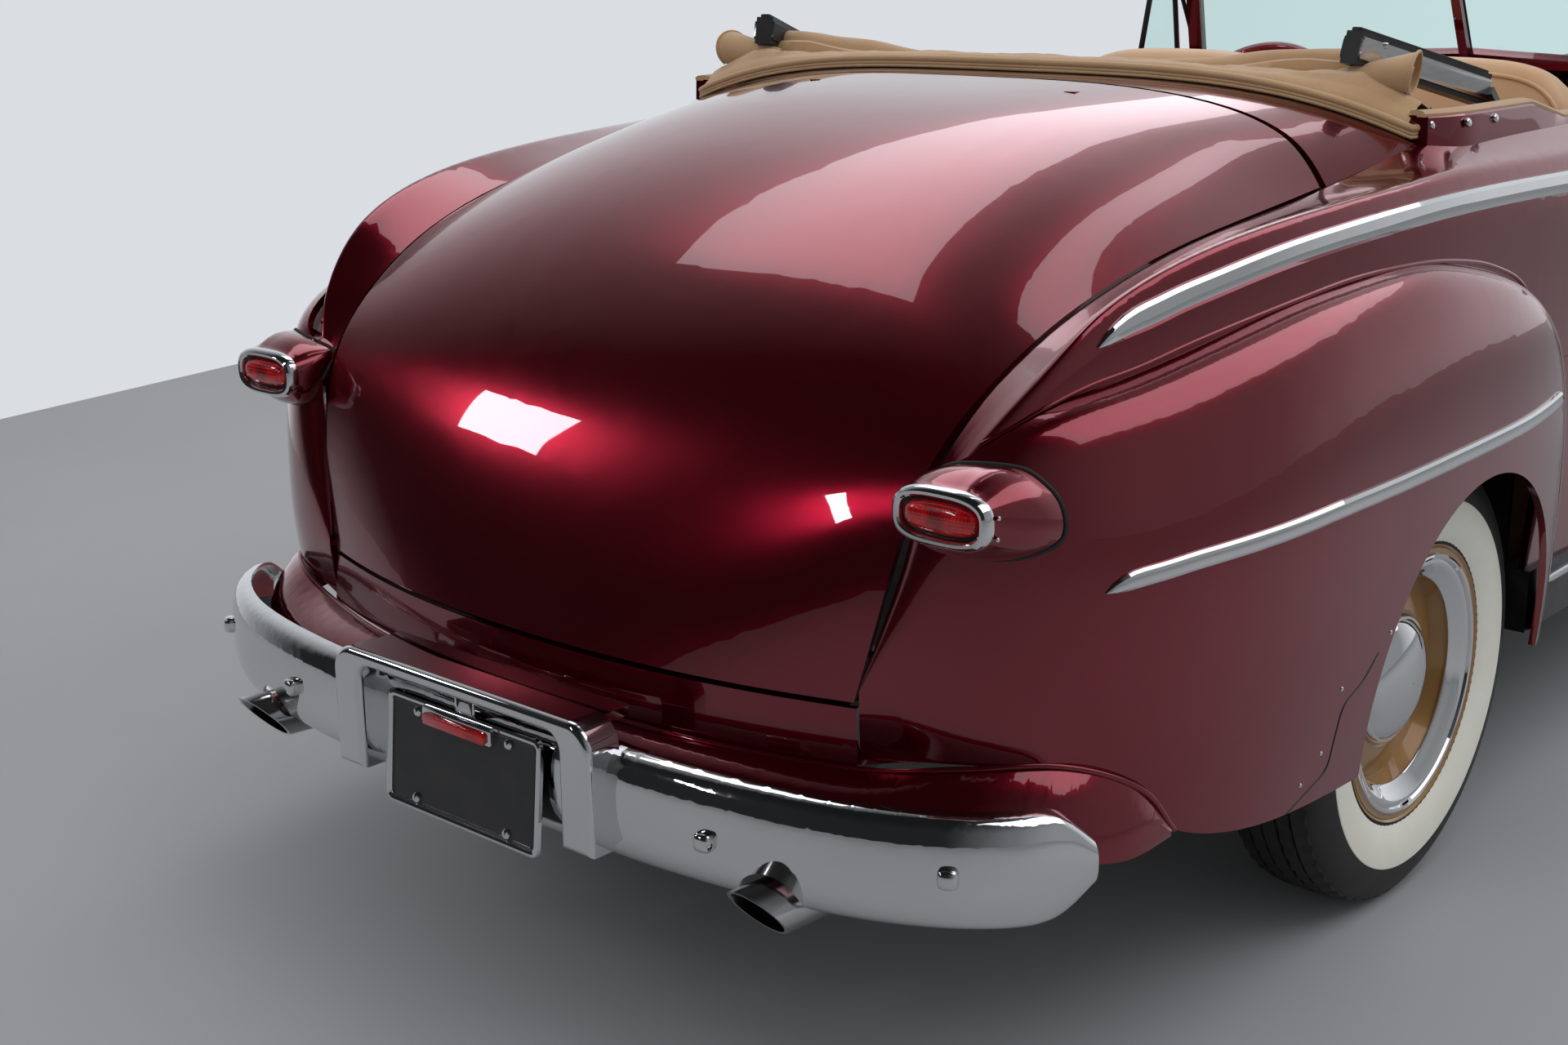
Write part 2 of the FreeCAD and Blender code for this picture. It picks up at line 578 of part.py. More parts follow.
def front_splash_point(u, v):
    side = 1 if u > 0 else -1
    inner, outer, lower = front_pan_inner(abs(u)), pan_outer(abs(u)), pan_lower(abs(u))
    point = inner * (1 - v) ** 2 + Vec(outer.x, -outer.y, outer.z) * 2 * v * (1 - v) + Vec(lower.x, -lower.y, lower.z) * v ** 2
    return Vec(side * point.x, point.y, point.z)


front_pan = panel(grid(front_splash_point, spread(31, -1, 1), spread(7)), 6, Vec(0, -2200, 300))

# Bumpers: a bowed face with rounded ends, guards, and on the rear a bar across the plate.
BUMPER_Z = 380.0
BUMPER_FACE_Y = 2532.0
BUMPER_HALF_HEIGHT = 76.0
bumper_bow = ((0, 0), (300, 8), (430, 22), (600, 58), (734, 122), (805, 192), (838, 270))
bumper_path = rail(*[(x, BUMPER_FACE_Y - back, 0) for x, back in bumper_bow])
bumper_section = [(-26, 1.0), (-9, 0.96), (2, 0.8), (8, 0.45), (9, 0.0), (8, -0.45), (2, -0.8), (-9, -0.96),
                  (-26, -1.0)]


def bumper_point(u, k):
    side = 1 if u > 0 else -1
    t = abs(u)
    here, ahead = bumper_path(t), bumper_path(min(1.0, t + 0.01))
    before = bumper_path(max(0.0, t - 0.01))
    along = (ahead - before).normalize()
    outward = Vec(-along.y, along.x, 0)
    if t > 0.93:
        height = math.sqrt(max(0.0, 1 - ((t - 0.93) / 0.07) ** 2 * 0.8))
    else:
        height = 1.0
    offset, share = bumper_section[int(k)]
    point = here + outward * offset
    return Vec(side * point.x, point.y, BUMPER_Z + BUMPER_HALF_HEIGHT * share * height)


bumper_face = panel(grid(bumper_point, spread(61, -1, 1), range(9)), 5, Vec(0, 2000, BUMPER_Z))
GUARD_X = 237.0
GUARD_HALF = 29.0
GUARD_LOW_Z, GUARD_TOP_Z = 315.0, 497.0
GUARD_FRONT_Y = BUMPER_FACE_Y + 31.0
HOOP_BAR = 23.0


def guard(x):
    body = box(x - GUARD_HALF, x + GUARD_HALF, BUMPER_FACE_Y - 22, GUARD_FRONT_Y, GUARD_LOW_Z, GUARD_TOP_Z)
    edges = [e for e in body.Edges if min(v.Y for v in e.Vertexes) > BUMPER_FACE_Y or
             abs(e.tangentAt(e.FirstParameter).z) < 0.1 and max(v.Z for v in e.Vertexes) > BUMPER_Z]
    return body.makeFillet(18, edges)


def hoop():
    """The rear guards in one frame with the bar over the plate."""
    half = GUARD_X + GUARD_HALF
    y0 = BUMPER_FACE_Y - 26
    outer = box(-half, half, y0, GUARD_FRONT_Y, GUARD_LOW_Z, GUARD_TOP_Z)
    inner = box(-half + 2 * GUARD_HALF, half - 2 * GUARD_HALF, y0 - 10, GUARD_FRONT_Y + 10, GUARD_LOW_Z - 10,
                GUARD_TOP_Z - HOOP_BAR)
    across = [e for e in outer.Edges if abs(e.tangentAt(e.FirstParameter).y) > 0.99]
    outer = outer.makeFillet(40, [e for e in across if e.Vertexes[0].Z > BUMPER_Z])
    inner = inner.makeFillet(24, [e for e in inner.Edges if abs(e.tangentAt(e.FirstParameter).y) > 0.99
                                  and e.Vertexes[0].Z > BUMPER_Z])
    frame = outer.cut(inner)
    front = [e for e in frame.Edges if min(v.Y for v in e.Vertexes) > GUARD_FRONT_Y - 1]
    return frame.makeFillet(10, front)


RAIL_END_Y = 2330.0
bumper_arms = [box(s * 395 - 28, s * 395 + 28, RAIL_END_Y + SEAT_GAP, BUMPER_FACE_Y - 13, 368, 392) for s in (1, -1)]
TIP_X, TIP_Z, TIP_RADIUS = 516.0, 308.0, 38.0
notches = [rod((s * TIP_X, 2300, TIP_Z - 10), (s * TIP_X, 2620, TIP_Z + 2), TIP_RADIUS + 8) for s in (1, -1)]
shelf = box(-GUARD_X, GUARD_X, BUMPER_FACE_Y - 72, GUARD_FRONT_Y - 20, GUARD_TOP_Z - 17, GUARD_TOP_Z - 4)
rear_bumper = fused(bumper_face.cut(notches[0]).cut(notches[1]), hoop(), shelf, *bumper_arms)
front_face = fused(bumper_face, guard(300), guard(-300), *bumper_arms)
front_bumper = front_face.mirror(Vec(0, 0, 0), Vec(0, 1, 0))
keep("bumpers", rear_bumper, front_bumper)
around = Part.makeCompound([rear_bumper, rear_fender, mirrored(rear_fender), lower_back])
front_around = Part.makeCompound([front_bumper, front_fender, mirrored(front_fender), nodes["grille_shell"]])
keep("splash_pans", largest(rear_pan.cut(around)), largest(front_pan.cut(front_around)))

# Plate in its frame, hanging under the bar.
PLATE_Y0, PLATE_Y1 = BUMPER_FACE_Y + 11.0, BUMPER_FACE_Y + 15.0
PLATE_Z = 367.0
PLATE_HOLES_X, PLATE_HOLES_Z, PLATE_HOLE_RADIUS = 178.0, 121.0, 3.5
plate = box(-157, 157, PLATE_Y0, PLATE_Y1, PLATE_Z - 81, PLATE_Z + 81)
plate = plate.fuse(box(-20, 20, PLATE_Y0, PLATE_Y1, PLATE_Z + 70, GUARD_TOP_Z - HOOP_BAR - SEAT_GAP))
for hole_x in (-PLATE_HOLES_X / 2, PLATE_HOLES_X / 2):
    for hole_z in (PLATE_Z - PLATE_HOLES_Z / 2, PLATE_Z + PLATE_HOLES_Z / 2):
        plate = plate.cut(rod((hole_x, PLATE_Y0 - 5, hole_z), (hole_x, PLATE_Y1 + 5, hole_z), PLATE_HOLE_RADIUS))
keep("licence_plate", plate)

# Lamps.


def oval(cx, y, cz, width, height, power=0.55):
    points = []
    for i in range(24):
        a = 2 * math.pi * i / 24
        c, s = math.cos(a), math.sin(a)
        points.append(Vec(cx + width / 2 * math.copysign(abs(c) ** power, c), y,
                          cz + height / 2 * math.copysign(abs(s) ** power, s)))
    curve = Part.BSplineCurve()
    curve.interpolate(points, PeriodicFlag=True)
    return Part.Wire(curve.toShape())


TAIL = Vec(671, 2352, 806)
pod = Part.makeLoft([oval(TAIL.x, TAIL.y, TAIL.z, 132, 64), oval(TAIL.x + 3, TAIL.y - 52, TAIL.z + 2, 142, 76),
                     oval(TAIL.x + 13, TAIL.y - 90, TAIL.z - 8, 150, 80)], True)
lid_room, quarter_room = box(500, 603, 2000, 2348, 600, 1000), box(500, 630, 2000, 2300, 600, 1000)
pod = pod.cut(lid_room).cut(quarter_room).cut(rear_fender)
pod = max(pod.Solids, key=lambda solid: solid.CenterOfMass.y)
tail_bezel = Part.makeLoft([oval(TAIL.x, TAIL.y + SEAT_GAP, TAIL.z, 136, 68),
                            oval(TAIL.x, TAIL.y + 14, TAIL.z, 126, 58)], True)
tail_hole = Part.makeLoft([oval(TAIL.x, TAIL.y - 5, TAIL.z, 108, 42), oval(TAIL.x, TAIL.y + 20, TAIL.z, 108, 42)], True)
tail_lens = Part.makeLoft([oval(TAIL.x, TAIL.y + SEAT_GAP, TAIL.z, 107, 41),
                           oval(TAIL.x, TAIL.y + 18, TAIL.z, 92, 28)], True)
keep("tail_lamp_pods", pod, mirrored(pod))
bezel = turned([(0, 78), (0, HEAD_RADIUS), (14, 94), (22, 84), (16, 78)], (0, 0, 0))
bezel = bezel.rotated(Vec(0, 0, 0), Vec(0, 0, 1), -90).translated(HEAD)
lens = Part.makeCylinder(77.6, 14, Vec(0, -SEAT_GAP, 0), Vec(0, -1, 0)).translated(HEAD)
bucket = Part.makeCylinder(HEAD_RADIUS, 60, Vec(0, 0, 0), Vec(0, 1, 0)).translated(HEAD)
head_lamp = fused(bezel, bucket)
keep("lamp_bezels", tail_bezel.cut(tail_hole), mirrored(tail_bezel.cut(tail_hole)), head_lamp, mirrored(head_lamp))
keep("tail_lamp_lenses", tail_lens, mirrored(tail_lens))
keep("head_lamp_lenses", lens, mirrored(lens))

# Doors, each as thick as the whole door, with a vent window on its front end.


def door_point(y, z):
    return Vec(side_x(y, z), y, z)


door_skin = grid(door_point, spread(13, DOOR_FRONT_Y, DOOR_REAR_Y), spread(13, SILL_TOP_Z + SEAM, DOOR_TOP_Z))
door_back = [[p - Vec(DOOR_THICK, 0, 0) for p in line] for line in door_skin]
door = closed(door_skin, door_back)


def door_leaf(start, moves, grow):
    y0, y1 = (start.y + 1, start.y + LEAF_REACH) if moves else (start.y - LEAF_REACH, start.y - 1)
    return box(start.x - 30 - grow, start.x + 1, y0 - grow, y1 + grow, start.z, start.z + 20)


for height in HINGE_HEIGHTS:
    fixed, moving, fixed_room, moving_room = barrels(Vec(HINGE_X, HINGE_Y, height), Vec(0, 0, 1), door_leaf)
    cowl = joined(cowl, fixed + [mirrored(b) for b in fixed], moving_room + [mirrored(b) for b in moving_room])
    door = joined(door, moving, fixed_room)
cowl_fixed = [nodes["front_fenders"], nodes["floor"]]
keep("cowl", largest(cowl.cut(Part.makeCompound(cowl_fixed))))
keep("door_left", door)
keep("door_right", mirrored(door))


def strut(start, end, width, depth, depth_axis=Vec(0, 1, 0)):
    """A bar of rectangular section between two points."""
    start, end = Vec(*start), Vec(*end)
    along = (end - start).normalize()
    side = along.cross(depth_axis).normalize()
    front = side.cross(along).normalize()
    corners = [start + side * (a * width / 2) + front * (b * depth / 2)
               for a, b in ((-1, -1), (1, -1), (1, 1), (-1, 1), (-1, -1))]
    return Part.Face(Part.makePolygon(corners)).extrude(end - start)


VENT_FRONT = ((712, -468, DOOR_TOP_Z + 5), (634, -272, 1552))
VENT_REAR = ((712, -285, DOOR_TOP_Z + 5), (634, -256, 1552))
vent_frame = fused(strut(VENT_FRONT[0], VENT_FRONT[1], 10, 14), strut(VENT_REAR[0], VENT_REAR[1], 10, 14),
                   strut((712, -476, DOOR_TOP_Z + 6.3), (712, -278, DOOR_TOP_Z + 6.3), 12, 12, Vec(1, 0, 0)),
                   strut((634, -279, 1549), (634, -249, 1549), 10, 12, Vec(1, 0, 0)))
vent_points = [Vec(*VENT_FRONT[0]), Vec(*VENT_REAR[0]), Vec(*VENT_REAR[1]), Vec(*VENT_FRONT[1])]
vent_centre = sum(vent_points, Vec(0, 0, 0)) * 0.25
vent_glass = Part.Face(Part.makePolygon(vent_points + vent_points[:1])).extrude(Vec(5, 0, 0))
vent_window = fused(vent_frame, vent_glass)
keep("vent_window_left", vent_window)
keep("vent_window_right", mirrored(vent_window))

# Windshield: two flat panes meeting at a centre post, raked back.
dashboard_block = prism_x([(-690, 1130), (-520, 1150), (-440, 1120), (-430, 1000), (-470, 960), (-500, 960),
                           (-520, 1100), (-690, 1100)], -655, 655)
GLASS_FOOT = Vec(8, -602, 1192)
GLASS_ALONG = Vec(672, 82, -26)
GLASS_UP = Vec(0, 240, 400)


def glass_at(s, t):
    return GLASS_FOOT + GLASS_ALONG * s + GLASS_UP * t


pane_corners = [glass_at(0, 0), glass_at(1, 0), glass_at(0.875, 1), glass_at(0, 1)]
glass_normal = GLASS_ALONG.cross(GLASS_UP).normalize()
pane = Part.Face(Part.makePolygon(pane_corners + pane_corners[:1])).extrude(glass_normal * 6)
post_pairs = [(pane_corners[1], pane_corners[2], 34, 30), (pane_corners[3], pane_corners[2], 26, 26),
              (pane_corners[0], pane_corners[1], 30, 26)]
frame_bars = []
for a, b, width, depth in post_pairs:
    reach = (b - a).normalize() * 12
    frame_bars.append(strut(a - reach, b + reach, width, depth, glass_normal))
frame_half = fused(*frame_bars)
centre_post = strut((0, -604, 1170), (0, -358, 1604), 22, 28)
windshield_frame = largest(fused(frame_half, mirrored(frame_half), centre_post).cut(cowl).cut(dashboard_block))
keep("windshield_frame", windshield_frame)
pane = largest(pane.cut(windshield_frame))
keep("windshield_glass", pane, mirrored(pane))

# Dashboard, steering column and wheel.
keep("dashboard", largest(dashboard_block.cut(cowl).cut(column)))
keep("steering_column", column)
turn = FreeCAD.Rotation(Vec(0, 0, 1), COLUMN_AXIS)
rim = Part.makeTorus(205, 12)
spokes = [box(-4, 4, -205, 205, -4, 4), Part.makeCylinder(36, 30, Vec(0, 0, -16))]
steering_wheel = fused(rim, *spokes)
steering_wheel.Placement = FreeCAD.Placement(WHEEL_CENTRE, turn)
keep("steering_wheel", steering_wheel)

# Seats and the folded top.


def cushion(x0, x1, outline, radius):
    body = prism_x(outline, x0, x1)
    return body.makeFillet(radius, body.Edges)


front_seat = fused(box(-560, 560, -300, 150, FLOOR_TOP_Z + SEAT_GAP, 560),
                   cushion(-660, 660, [(-350, 540), (-350, 690), (170, 670), (200, 540)], 40),
                   cushion(-660, 660, [(120, 600), (90, 700), (170, 1215), (260, 1215), (270, 600)], 38))
rear_seat = fused(box(-560, 560, 660, 920, FLOOR_TOP_Z + SEAT_GAP, 560),
                  cushion(-620, 620, [(610, 540), (610, 700), (1020, 680), (1050, 610), (920, 540)], 30),
                  cushion(-620, 620, [(990, 620), (1080, 1120), (1170, 1120), (1160, 620)], 30))
keep("seats", front_seat, rear_seat)
TOP_STACK = ((-4.3, 2), (-10, 16), (-20, 25), (-45, 24), (-70, 16), (-95, 6), (-115, -12))
TOP_FOOT_Z = 1095.0
side_rise = track((0, 0), (0.6, 4), (0.84, 34), (0.96, 26))


def top_point(f, c):
    """The folded cloth along the boot line, fuller where the side irons are wrapped in it."""
    back, rise = TOP_STACK[int(c)]
    line = deck(f, 0)
    bump = side_rise(abs(f)) * (1 if -100 < back < -10 else 0.2)
    return Vec(line.x, line.y + back, line.z + rise + bump)


top_rows = grid(top_point, spread(25, -0.965, 0.965), range(len(TOP_STACK)))
folded_top = closed(top_rows, [[Vec(p.x, p.y, TOP_FOOT_Z) for p in line] for line in top_rows])
keep("folded_top", folded_top)
IRON_FRONT, IRON_REAR = (690, 957, 1225), (602, 1241, 1301)
iron = fused(strut(IRON_FRONT, IRON_REAR, 34, 50, Vec(0, 0, 1)),
             strut((700, 965, 1222), (715, 905, TRIM_TOP_Z + 12), 30, 16, Vec(0, 1, 0)),
             box(695, 735, 885, 925, TRIM_TOP_Z + SEAT_GAP, TRIM_TOP_Z + 12))
iron = largest(iron.cut(folded_top))
keep("top_irons", iron, mirrored(iron))

# Chassis.
RAIL_X0, RAIL_X1 = 365.0, 425.0
rail_low = [(-2330, 326), (-1960, 326), (-1880, 400), (-1430, 400), (-1310, 262), (1080, 262), (1200, 470),
            (1640, 470), (1760, 366), (RAIL_END_Y, 366)]
RAIL_HEIGHT = 108.0
rail_outline = rail_low + [(y, z + RAIL_HEIGHT) for y, z in reversed(rail_low)]
rails = [prism_x(rail_outline, RAIL_X0, RAIL_X1), prism_x(rail_outline, -RAIL_X1, -RAIL_X0)]
crossmembers = []
for y, z in ((-2300, 330), (-2150, 347.7), (-1205, 266), (-150, 266), (850, 266), (1700, 400), (2260, 370)):
    crossmembers.append(box(-RAIL_X0, RAIL_X0, y, y + 70, z, z + 90))
for y in (-480, 200, 780):
    for side in (1, -1):
        x0, x1 = sorted((side * RAIL_X1, side * SILL_X0))
        crossmembers.append(box(x0, x1, y, y + 60, 300, FLOOR_Z - SEAT_GAP))
shaft_room = rod((0, REAR_AXLE_Y, TYRE_RADIUS), (0, -620, 290), 44)
keep("chassis_rails", *rails)
keep("chassis_crossmembers", *[largest(c.cut(shaft_room)) for c in crossmembers])

# Axles, knuckles and wheels.
HUB_Z = TYRE_RADIUS
KINGPIN_X = 636.0
HUB_FACE = 10.0
beam = strut((-600, FRONT_AXLE_Y, 300), (600, FRONT_AXLE_Y, 300), 60, 50)
front_axle_parts = [beam]
for side in (1, -1):
    front_axle_parts.append(box(min(side * 560, side * 615.7), max(side * 560, side * 615.7), FRONT_AXLE_Y - 25,
                                FRONT_AXLE_Y + 25, 270, 385))
spring = box(-560, 560, FRONT_AXLE_Y - 110, FRONT_AXLE_Y - 55, 335, 372)
front_axle_parts += [spring, box(-60, 60, FRONT_AXLE_Y - 110, FRONT_AXLE_Y + 25, 300, 372)]
front_axle_parts += [box(s * 395 - 28, s * 395 + 28, FRONT_AXLE_Y - 100, FRONT_AXLE_Y - 60, 372, 400 - SEAT_GAP)
                     for s in (1, -1)]
front_axle = fused(*front_axle_parts)
knuckle = fused(rod((KINGPIN_X, FRONT_AXLE_Y, 285), (KINGPIN_X, FRONT_AXLE_Y, 425), 20),
                rod((KINGPIN_X, FRONT_AXLE_Y, HUB_Z), (FRONT_TRACK / 2 + HUB_FACE - SEAT_GAP, FRONT_AXLE_Y, HUB_Z), 26))
keep("knuckle_left", knuckle)
keep("knuckle_right", mirrored(knuckle))
rear_hub_x = REAR_TRACK / 2 - 10
stub_x = REAR_TRACK / 2 + HUB_FACE - SEAT_GAP
axle_half = [(stub_x, 0), (stub_x, 26), (rear_hub_x, 26), (rear_hub_x, 36), (126, 36), (104, 78), (62, 112), (0, 128)]
axle_outline = axle_half + [(-x, r) for x, r in reversed(axle_half[:-1])]
rear_axle = fused(turned(axle_outline, (0, REAR_AXLE_Y, HUB_Z)),
                  rod((0, REAR_AXLE_Y - 60, HUB_Z), (0, -620, 290), 26),
                  box(-560, 560, REAR_AXLE_Y + 60, REAR_AXLE_Y + 115, 400, 430),
                  box(-560, -510, REAR_AXLE_Y, REAR_AXLE_Y + 115, 370, 430),
                  box(510, 560, REAR_AXLE_Y, REAR_AXLE_Y + 115, 370, 430),
                  box(365, 425, REAR_AXLE_Y + 62, REAR_AXLE_Y + 112, 425, 470 - SEAT_GAP),
                  box(-425, -365, REAR_AXLE_Y + 62, REAR_AXLE_Y + 112, 425, 470 - SEAT_GAP))
keep("axles", front_axle, rear_axle)

tyre_half = [(0, TYRE_RADIUS), (46, TYRE_RADIUS - 2), (66, TYRE_RADIUS - 12), (78, TYRE_RADIUS - 34), (83, 294),
             (82, 264), (76, 234), (66, 216), (62, BEAD_RADIUS)]
tyre_outline = tyre_half + [(-x, r) for x, r in reversed(tyre_half[1:])]
disc_outline = [(62.4, BEAD_RADIUS - 0.4), (66.6, 215.5), (70, 214), (68, 196), (50, 190), (44, 170), (20, 160),
                (30, 110), (14, 84), (14, 30), (4, 30), (4, 84), (20, 112), (8, 158), (30, 176), (0, 184), (-56, 190),
                (-70, 212), (-70, 214), (-66.6, 215.5), (-62.4, BEAD_RADIUS - 0.4)]
cap_outline = [(HUB_FACE, 0), (HUB_FACE, 84), (22, 98), (34, 96), (50, 76), (60, 40), (62, 0)]


def wheel_set(label, centre, side):
    keep("tyre_" + label, turned(tyre_outline, centre, side))
    keep("wheel_" + label, fused(turned(disc_outline, centre, side), turned(cap_outline, centre, side)))


for label, x, y in (("front_left", FRONT_TRACK / 2, FRONT_AXLE_Y), ("front_right", -FRONT_TRACK / 2, FRONT_AXLE_Y),
                    ("rear_left", REAR_TRACK / 2, REAR_AXLE_Y), ("rear_right", -REAR_TRACK / 2, REAR_AXLE_Y)):
    wheel_set(label, (x, y, HUB_Z), 1 if x > 0 else -1)

# Engine as one plain block, radiator, tank, exhaust.
engine = fused(box(-190, 190, -1800, -1000, 400, 830), box(-110, 110, -1010, -706, 380, 560))
keep("engine_block", engine)
keep("radiator", box(-290, 290, -2140, -2070, 438, 790))
keep("fuel_tank", box(-330, 330, 1790, 2240, 440, TRUNK_FLOOR_Z - SEAT_GAP))


def pipe(points, radius):
    parts = [rod(a, b, radius) for a, b in zip(points, points[1:])]
    parts += [Part.makeSphere(radius + 1.5, Vec(*p)) for p in points[1:-1]]
    return fused(*parts)


def exhaust(side):
    front = pipe([(side * 214.3, -1110, 420), (side * 240, -1000, 215), (side * 300, -700, 200),
                  (side * 300, 300, 200)], 24)
    muffler = rod((side * 300, 300, 205), (side * 300, 850, 205), 62)
    rear = pipe([(side * 300, 850, 205), (side * 320, 1200, 215), (side * 500, 1620, 250), (side * 516, 2240, 290)], 24)
    tip = rod((side * TIP_X, 2200, 288), (side * TIP_X, BUMPER_FACE_Y + 28, TIP_Z), TIP_RADIUS)
    tip = tip.cut(rod((side * TIP_X, 2250, 290.8), (side * TIP_X, 2620, 311.3), TIP_RADIUS - 4))
    cutter = box(-60, 60, 0, 200, -100, 100).rotated(Vec(0, 0, 0), Vec(1, 0, 0), -42)
    tip = tip.cut(cutter.translated(Vec(side * TIP_X, 2520, TIP_Z)))
    return fused(front, muffler, rear, tip)


keep("exhausts", exhaust(1), exhaust(-1))

whole = Part.makeCompound(list(nodes.values()))
size = whole.BoundBox
print("box", [round(v, 1) for v in (size.XMin, size.XMax, size.YMin, size.YMax, size.ZMin, size.ZMax)])
for name, shape in nodes.items():
    if not shape.isValid():
        print("NOT VALID", name)
    print(name, len(shape.Solids), round(shape.Volume / 1e6, 2))
    shape.exportStep("parts/" + name + ".step")
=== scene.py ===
"""A two-door convertible car with its top folded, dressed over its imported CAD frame."""
import json
import math
import bmesh
import bpy
from mathutils import Matrix, Vector
from mathutils.bvhtree import BVHTree


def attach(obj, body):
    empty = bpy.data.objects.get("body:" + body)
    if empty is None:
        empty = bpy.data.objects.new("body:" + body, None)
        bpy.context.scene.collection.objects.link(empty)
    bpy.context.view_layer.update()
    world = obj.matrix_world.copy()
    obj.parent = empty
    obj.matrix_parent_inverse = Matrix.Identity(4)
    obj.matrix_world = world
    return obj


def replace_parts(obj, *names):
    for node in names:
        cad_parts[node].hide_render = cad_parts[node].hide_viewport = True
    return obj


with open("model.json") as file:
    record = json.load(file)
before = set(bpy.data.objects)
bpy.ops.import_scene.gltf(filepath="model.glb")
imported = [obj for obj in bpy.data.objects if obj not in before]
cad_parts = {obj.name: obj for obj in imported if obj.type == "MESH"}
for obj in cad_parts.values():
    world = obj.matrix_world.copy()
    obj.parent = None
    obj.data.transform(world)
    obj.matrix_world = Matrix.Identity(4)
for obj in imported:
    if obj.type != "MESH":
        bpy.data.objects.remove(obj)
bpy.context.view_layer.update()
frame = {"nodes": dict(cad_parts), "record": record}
scene = bpy.context.scene
nodes = frame["nodes"]
SIDES = {1: "left", -1: "right"}
UP = Vector((0, 0, 1))
REARWARD = Vector((0, 1, 0))
FORWARD = Vector((0, -1, 0))
HUB_HEIGHT = 0.352
FRONT_HUB = (0.7365, -1.647)
REAR_HUB = (0.762, 1.350)
TAIL_LAMP = (0.671, 2.352, 0.806)
HEAD_LAMP = (0.652, -2.300, 0.748)
CLOTH_THICK = 0.0022


class Wire:
    """A socket among a material's nodes; sums and products of wires add the Math nodes they need."""

    def __init__(self, tree, socket=None):
        self.tree = tree
        self.socket = socket

    def node(self, kind, settings=None, sockets=None, out=0):
        made = self.tree.nodes.new("ShaderNode" + kind)
        for name, value in (settings or {}).items():
            setattr(made, name, value)
        for name, value in (sockets or {}).items():
            if isinstance(value, Wire):
                self.tree.links.new(value.socket, made.inputs[name])
            else:
                made.inputs[name].default_value = value
        return Wire(self.tree, made.outputs[out])

    def math(self, operation, first, second=0.0):
        return self.node("Math", {"operation": operation}, {0: first, 1: second})

    def __add__(self, other):
        return self.math("ADD", self, other)

    def __radd__(self, other):
        return self.math("ADD", other, self)

    def __sub__(self, other):
        return self.math("SUBTRACT", self, other)

    def __rsub__(self, other):
        return self.math("SUBTRACT", other, self)

    def __mul__(self, other):
        return self.math("MULTIPLY", self, other)

    def __rmul__(self, other):
        return self.math("MULTIPLY", other, self)

    def between(self, low, high):
        """0 below low, 1 above high, and even between."""
        return self.node("MapRange", {"clamp": True}, {0: self, 1: low, 2: high, 3: 0.0, 4: 1.0})

    def colours(self, first, second):
        return self.node("Mix", {"data_type": "RGBA"}, {0: self, 6: first, 7: second}, out=2)

    def bump(self, strength, depth):
        return self.node("Bump", {}, {"Strength": strength, "Distance": depth, "Height": self})

    def noise(self, scale, detail=2.0, rough=0.5):
        return self.node("TexNoise", {}, {"Vector": self, "Scale": scale, "Detail": detail,
                                          "Roughness": rough})

    def cells(self, scale):
        return self.node("TexVoronoi", {}, {"Vector": self, "Scale": scale})

    def stretched(self, x, y, z):
        return self.node("VectorMath", {"operation": "MULTIPLY"}, {0: self, 1: (x, y, z)})

    def parts(self):
        return [self.node("SeparateXYZ", {}, {0: self}, out=k) for k in range(3)]

    def ribs(self, per_metre):
        """Even ribs, 0 to 1, across a measure in metres."""
        return self.math("SINE", self * (per_metre * math.tau)) * 0.5 + 0.5


def rgb(red, green, blue):
    return (red, green, blue, 1.0)


def finish(name, fixed, vary):
    """A material: fixed values on the shader's sockets, and what vary(place) returns linked to it."""
    material = bpy.data.materials.new(name)
    material.use_nodes = True
    tree = material.node_tree
    shader = tree.nodes["Principled BSDF"]
    for key, value in fixed.items():
        shader.inputs[key].default_value = value
    place = Wire(tree).node("TexCoord", out=3)
    for key, value in vary(place).items():
        tree.links.new(value.socket, shader.inputs[key])
    return material


def vary_paint(place):
    mottle = place.noise(2.2, 3.0)
    return {"Base Color": (mottle * 0.4 + 0.3).colours(rgb(0.18, 0.001, 0.010), rgb(0.25, 0.002, 0.017)),
            "Roughness": place.noise(9.0, 2.0) * 0.05 + 0.185,
            "Normal": place.noise(1800.0, 1.0).bump(0.05, 0.00006)}


def vary_chrome(place):
    return {"Roughness": place.noise(14.0, 4.0).between(0.35, 0.9) * 0.05 + 0.03,
            "Base Color": place.noise(3.0).colours(rgb(0.70, 0.71, 0.72), rgb(0.80, 0.80, 0.81))}


def vary_black(place):
    dust = place.noise(22.0, 5.0, 0.6).between(0.45, 0.8)
    return {"Base Color": dust.colours(rgb(0.012, 0.012, 0.013), rgb(0.035, 0.034, 0.033)),
            "Roughness": dust * 0.25 + 0.38,
            "Normal": place.noise(260.0, 3.0).bump(0.15, 0.0004)}


def vary_steel(place):
    drawn = place.stretched(60.0, 3.0, 60.0).noise(3.0, 3.0)
    return {"Roughness": drawn * 0.14 + 0.10,
            "Base Color": drawn.colours(rgb(0.55, 0.55, 0.56), rgb(0.72, 0.71, 0.70))}


def vary_leather(place):
    pores = place.cells(420.0)
    broad = place.noise(7.0, 3.0)
    creases = place.noise(60.0, 4.0, 0.65)
    height = pores.between(0.0, 0.5) * 0.6 + creases * 0.5
    return {"Base Color": broad.between(0.3, 0.7).colours(rgb(0.56, 0.335, 0.170), rgb(0.64, 0.405, 0.225)),
            "Roughness": broad * 0.12 + 0.36,
            "Normal": height.bump(0.28, 0.0006)}


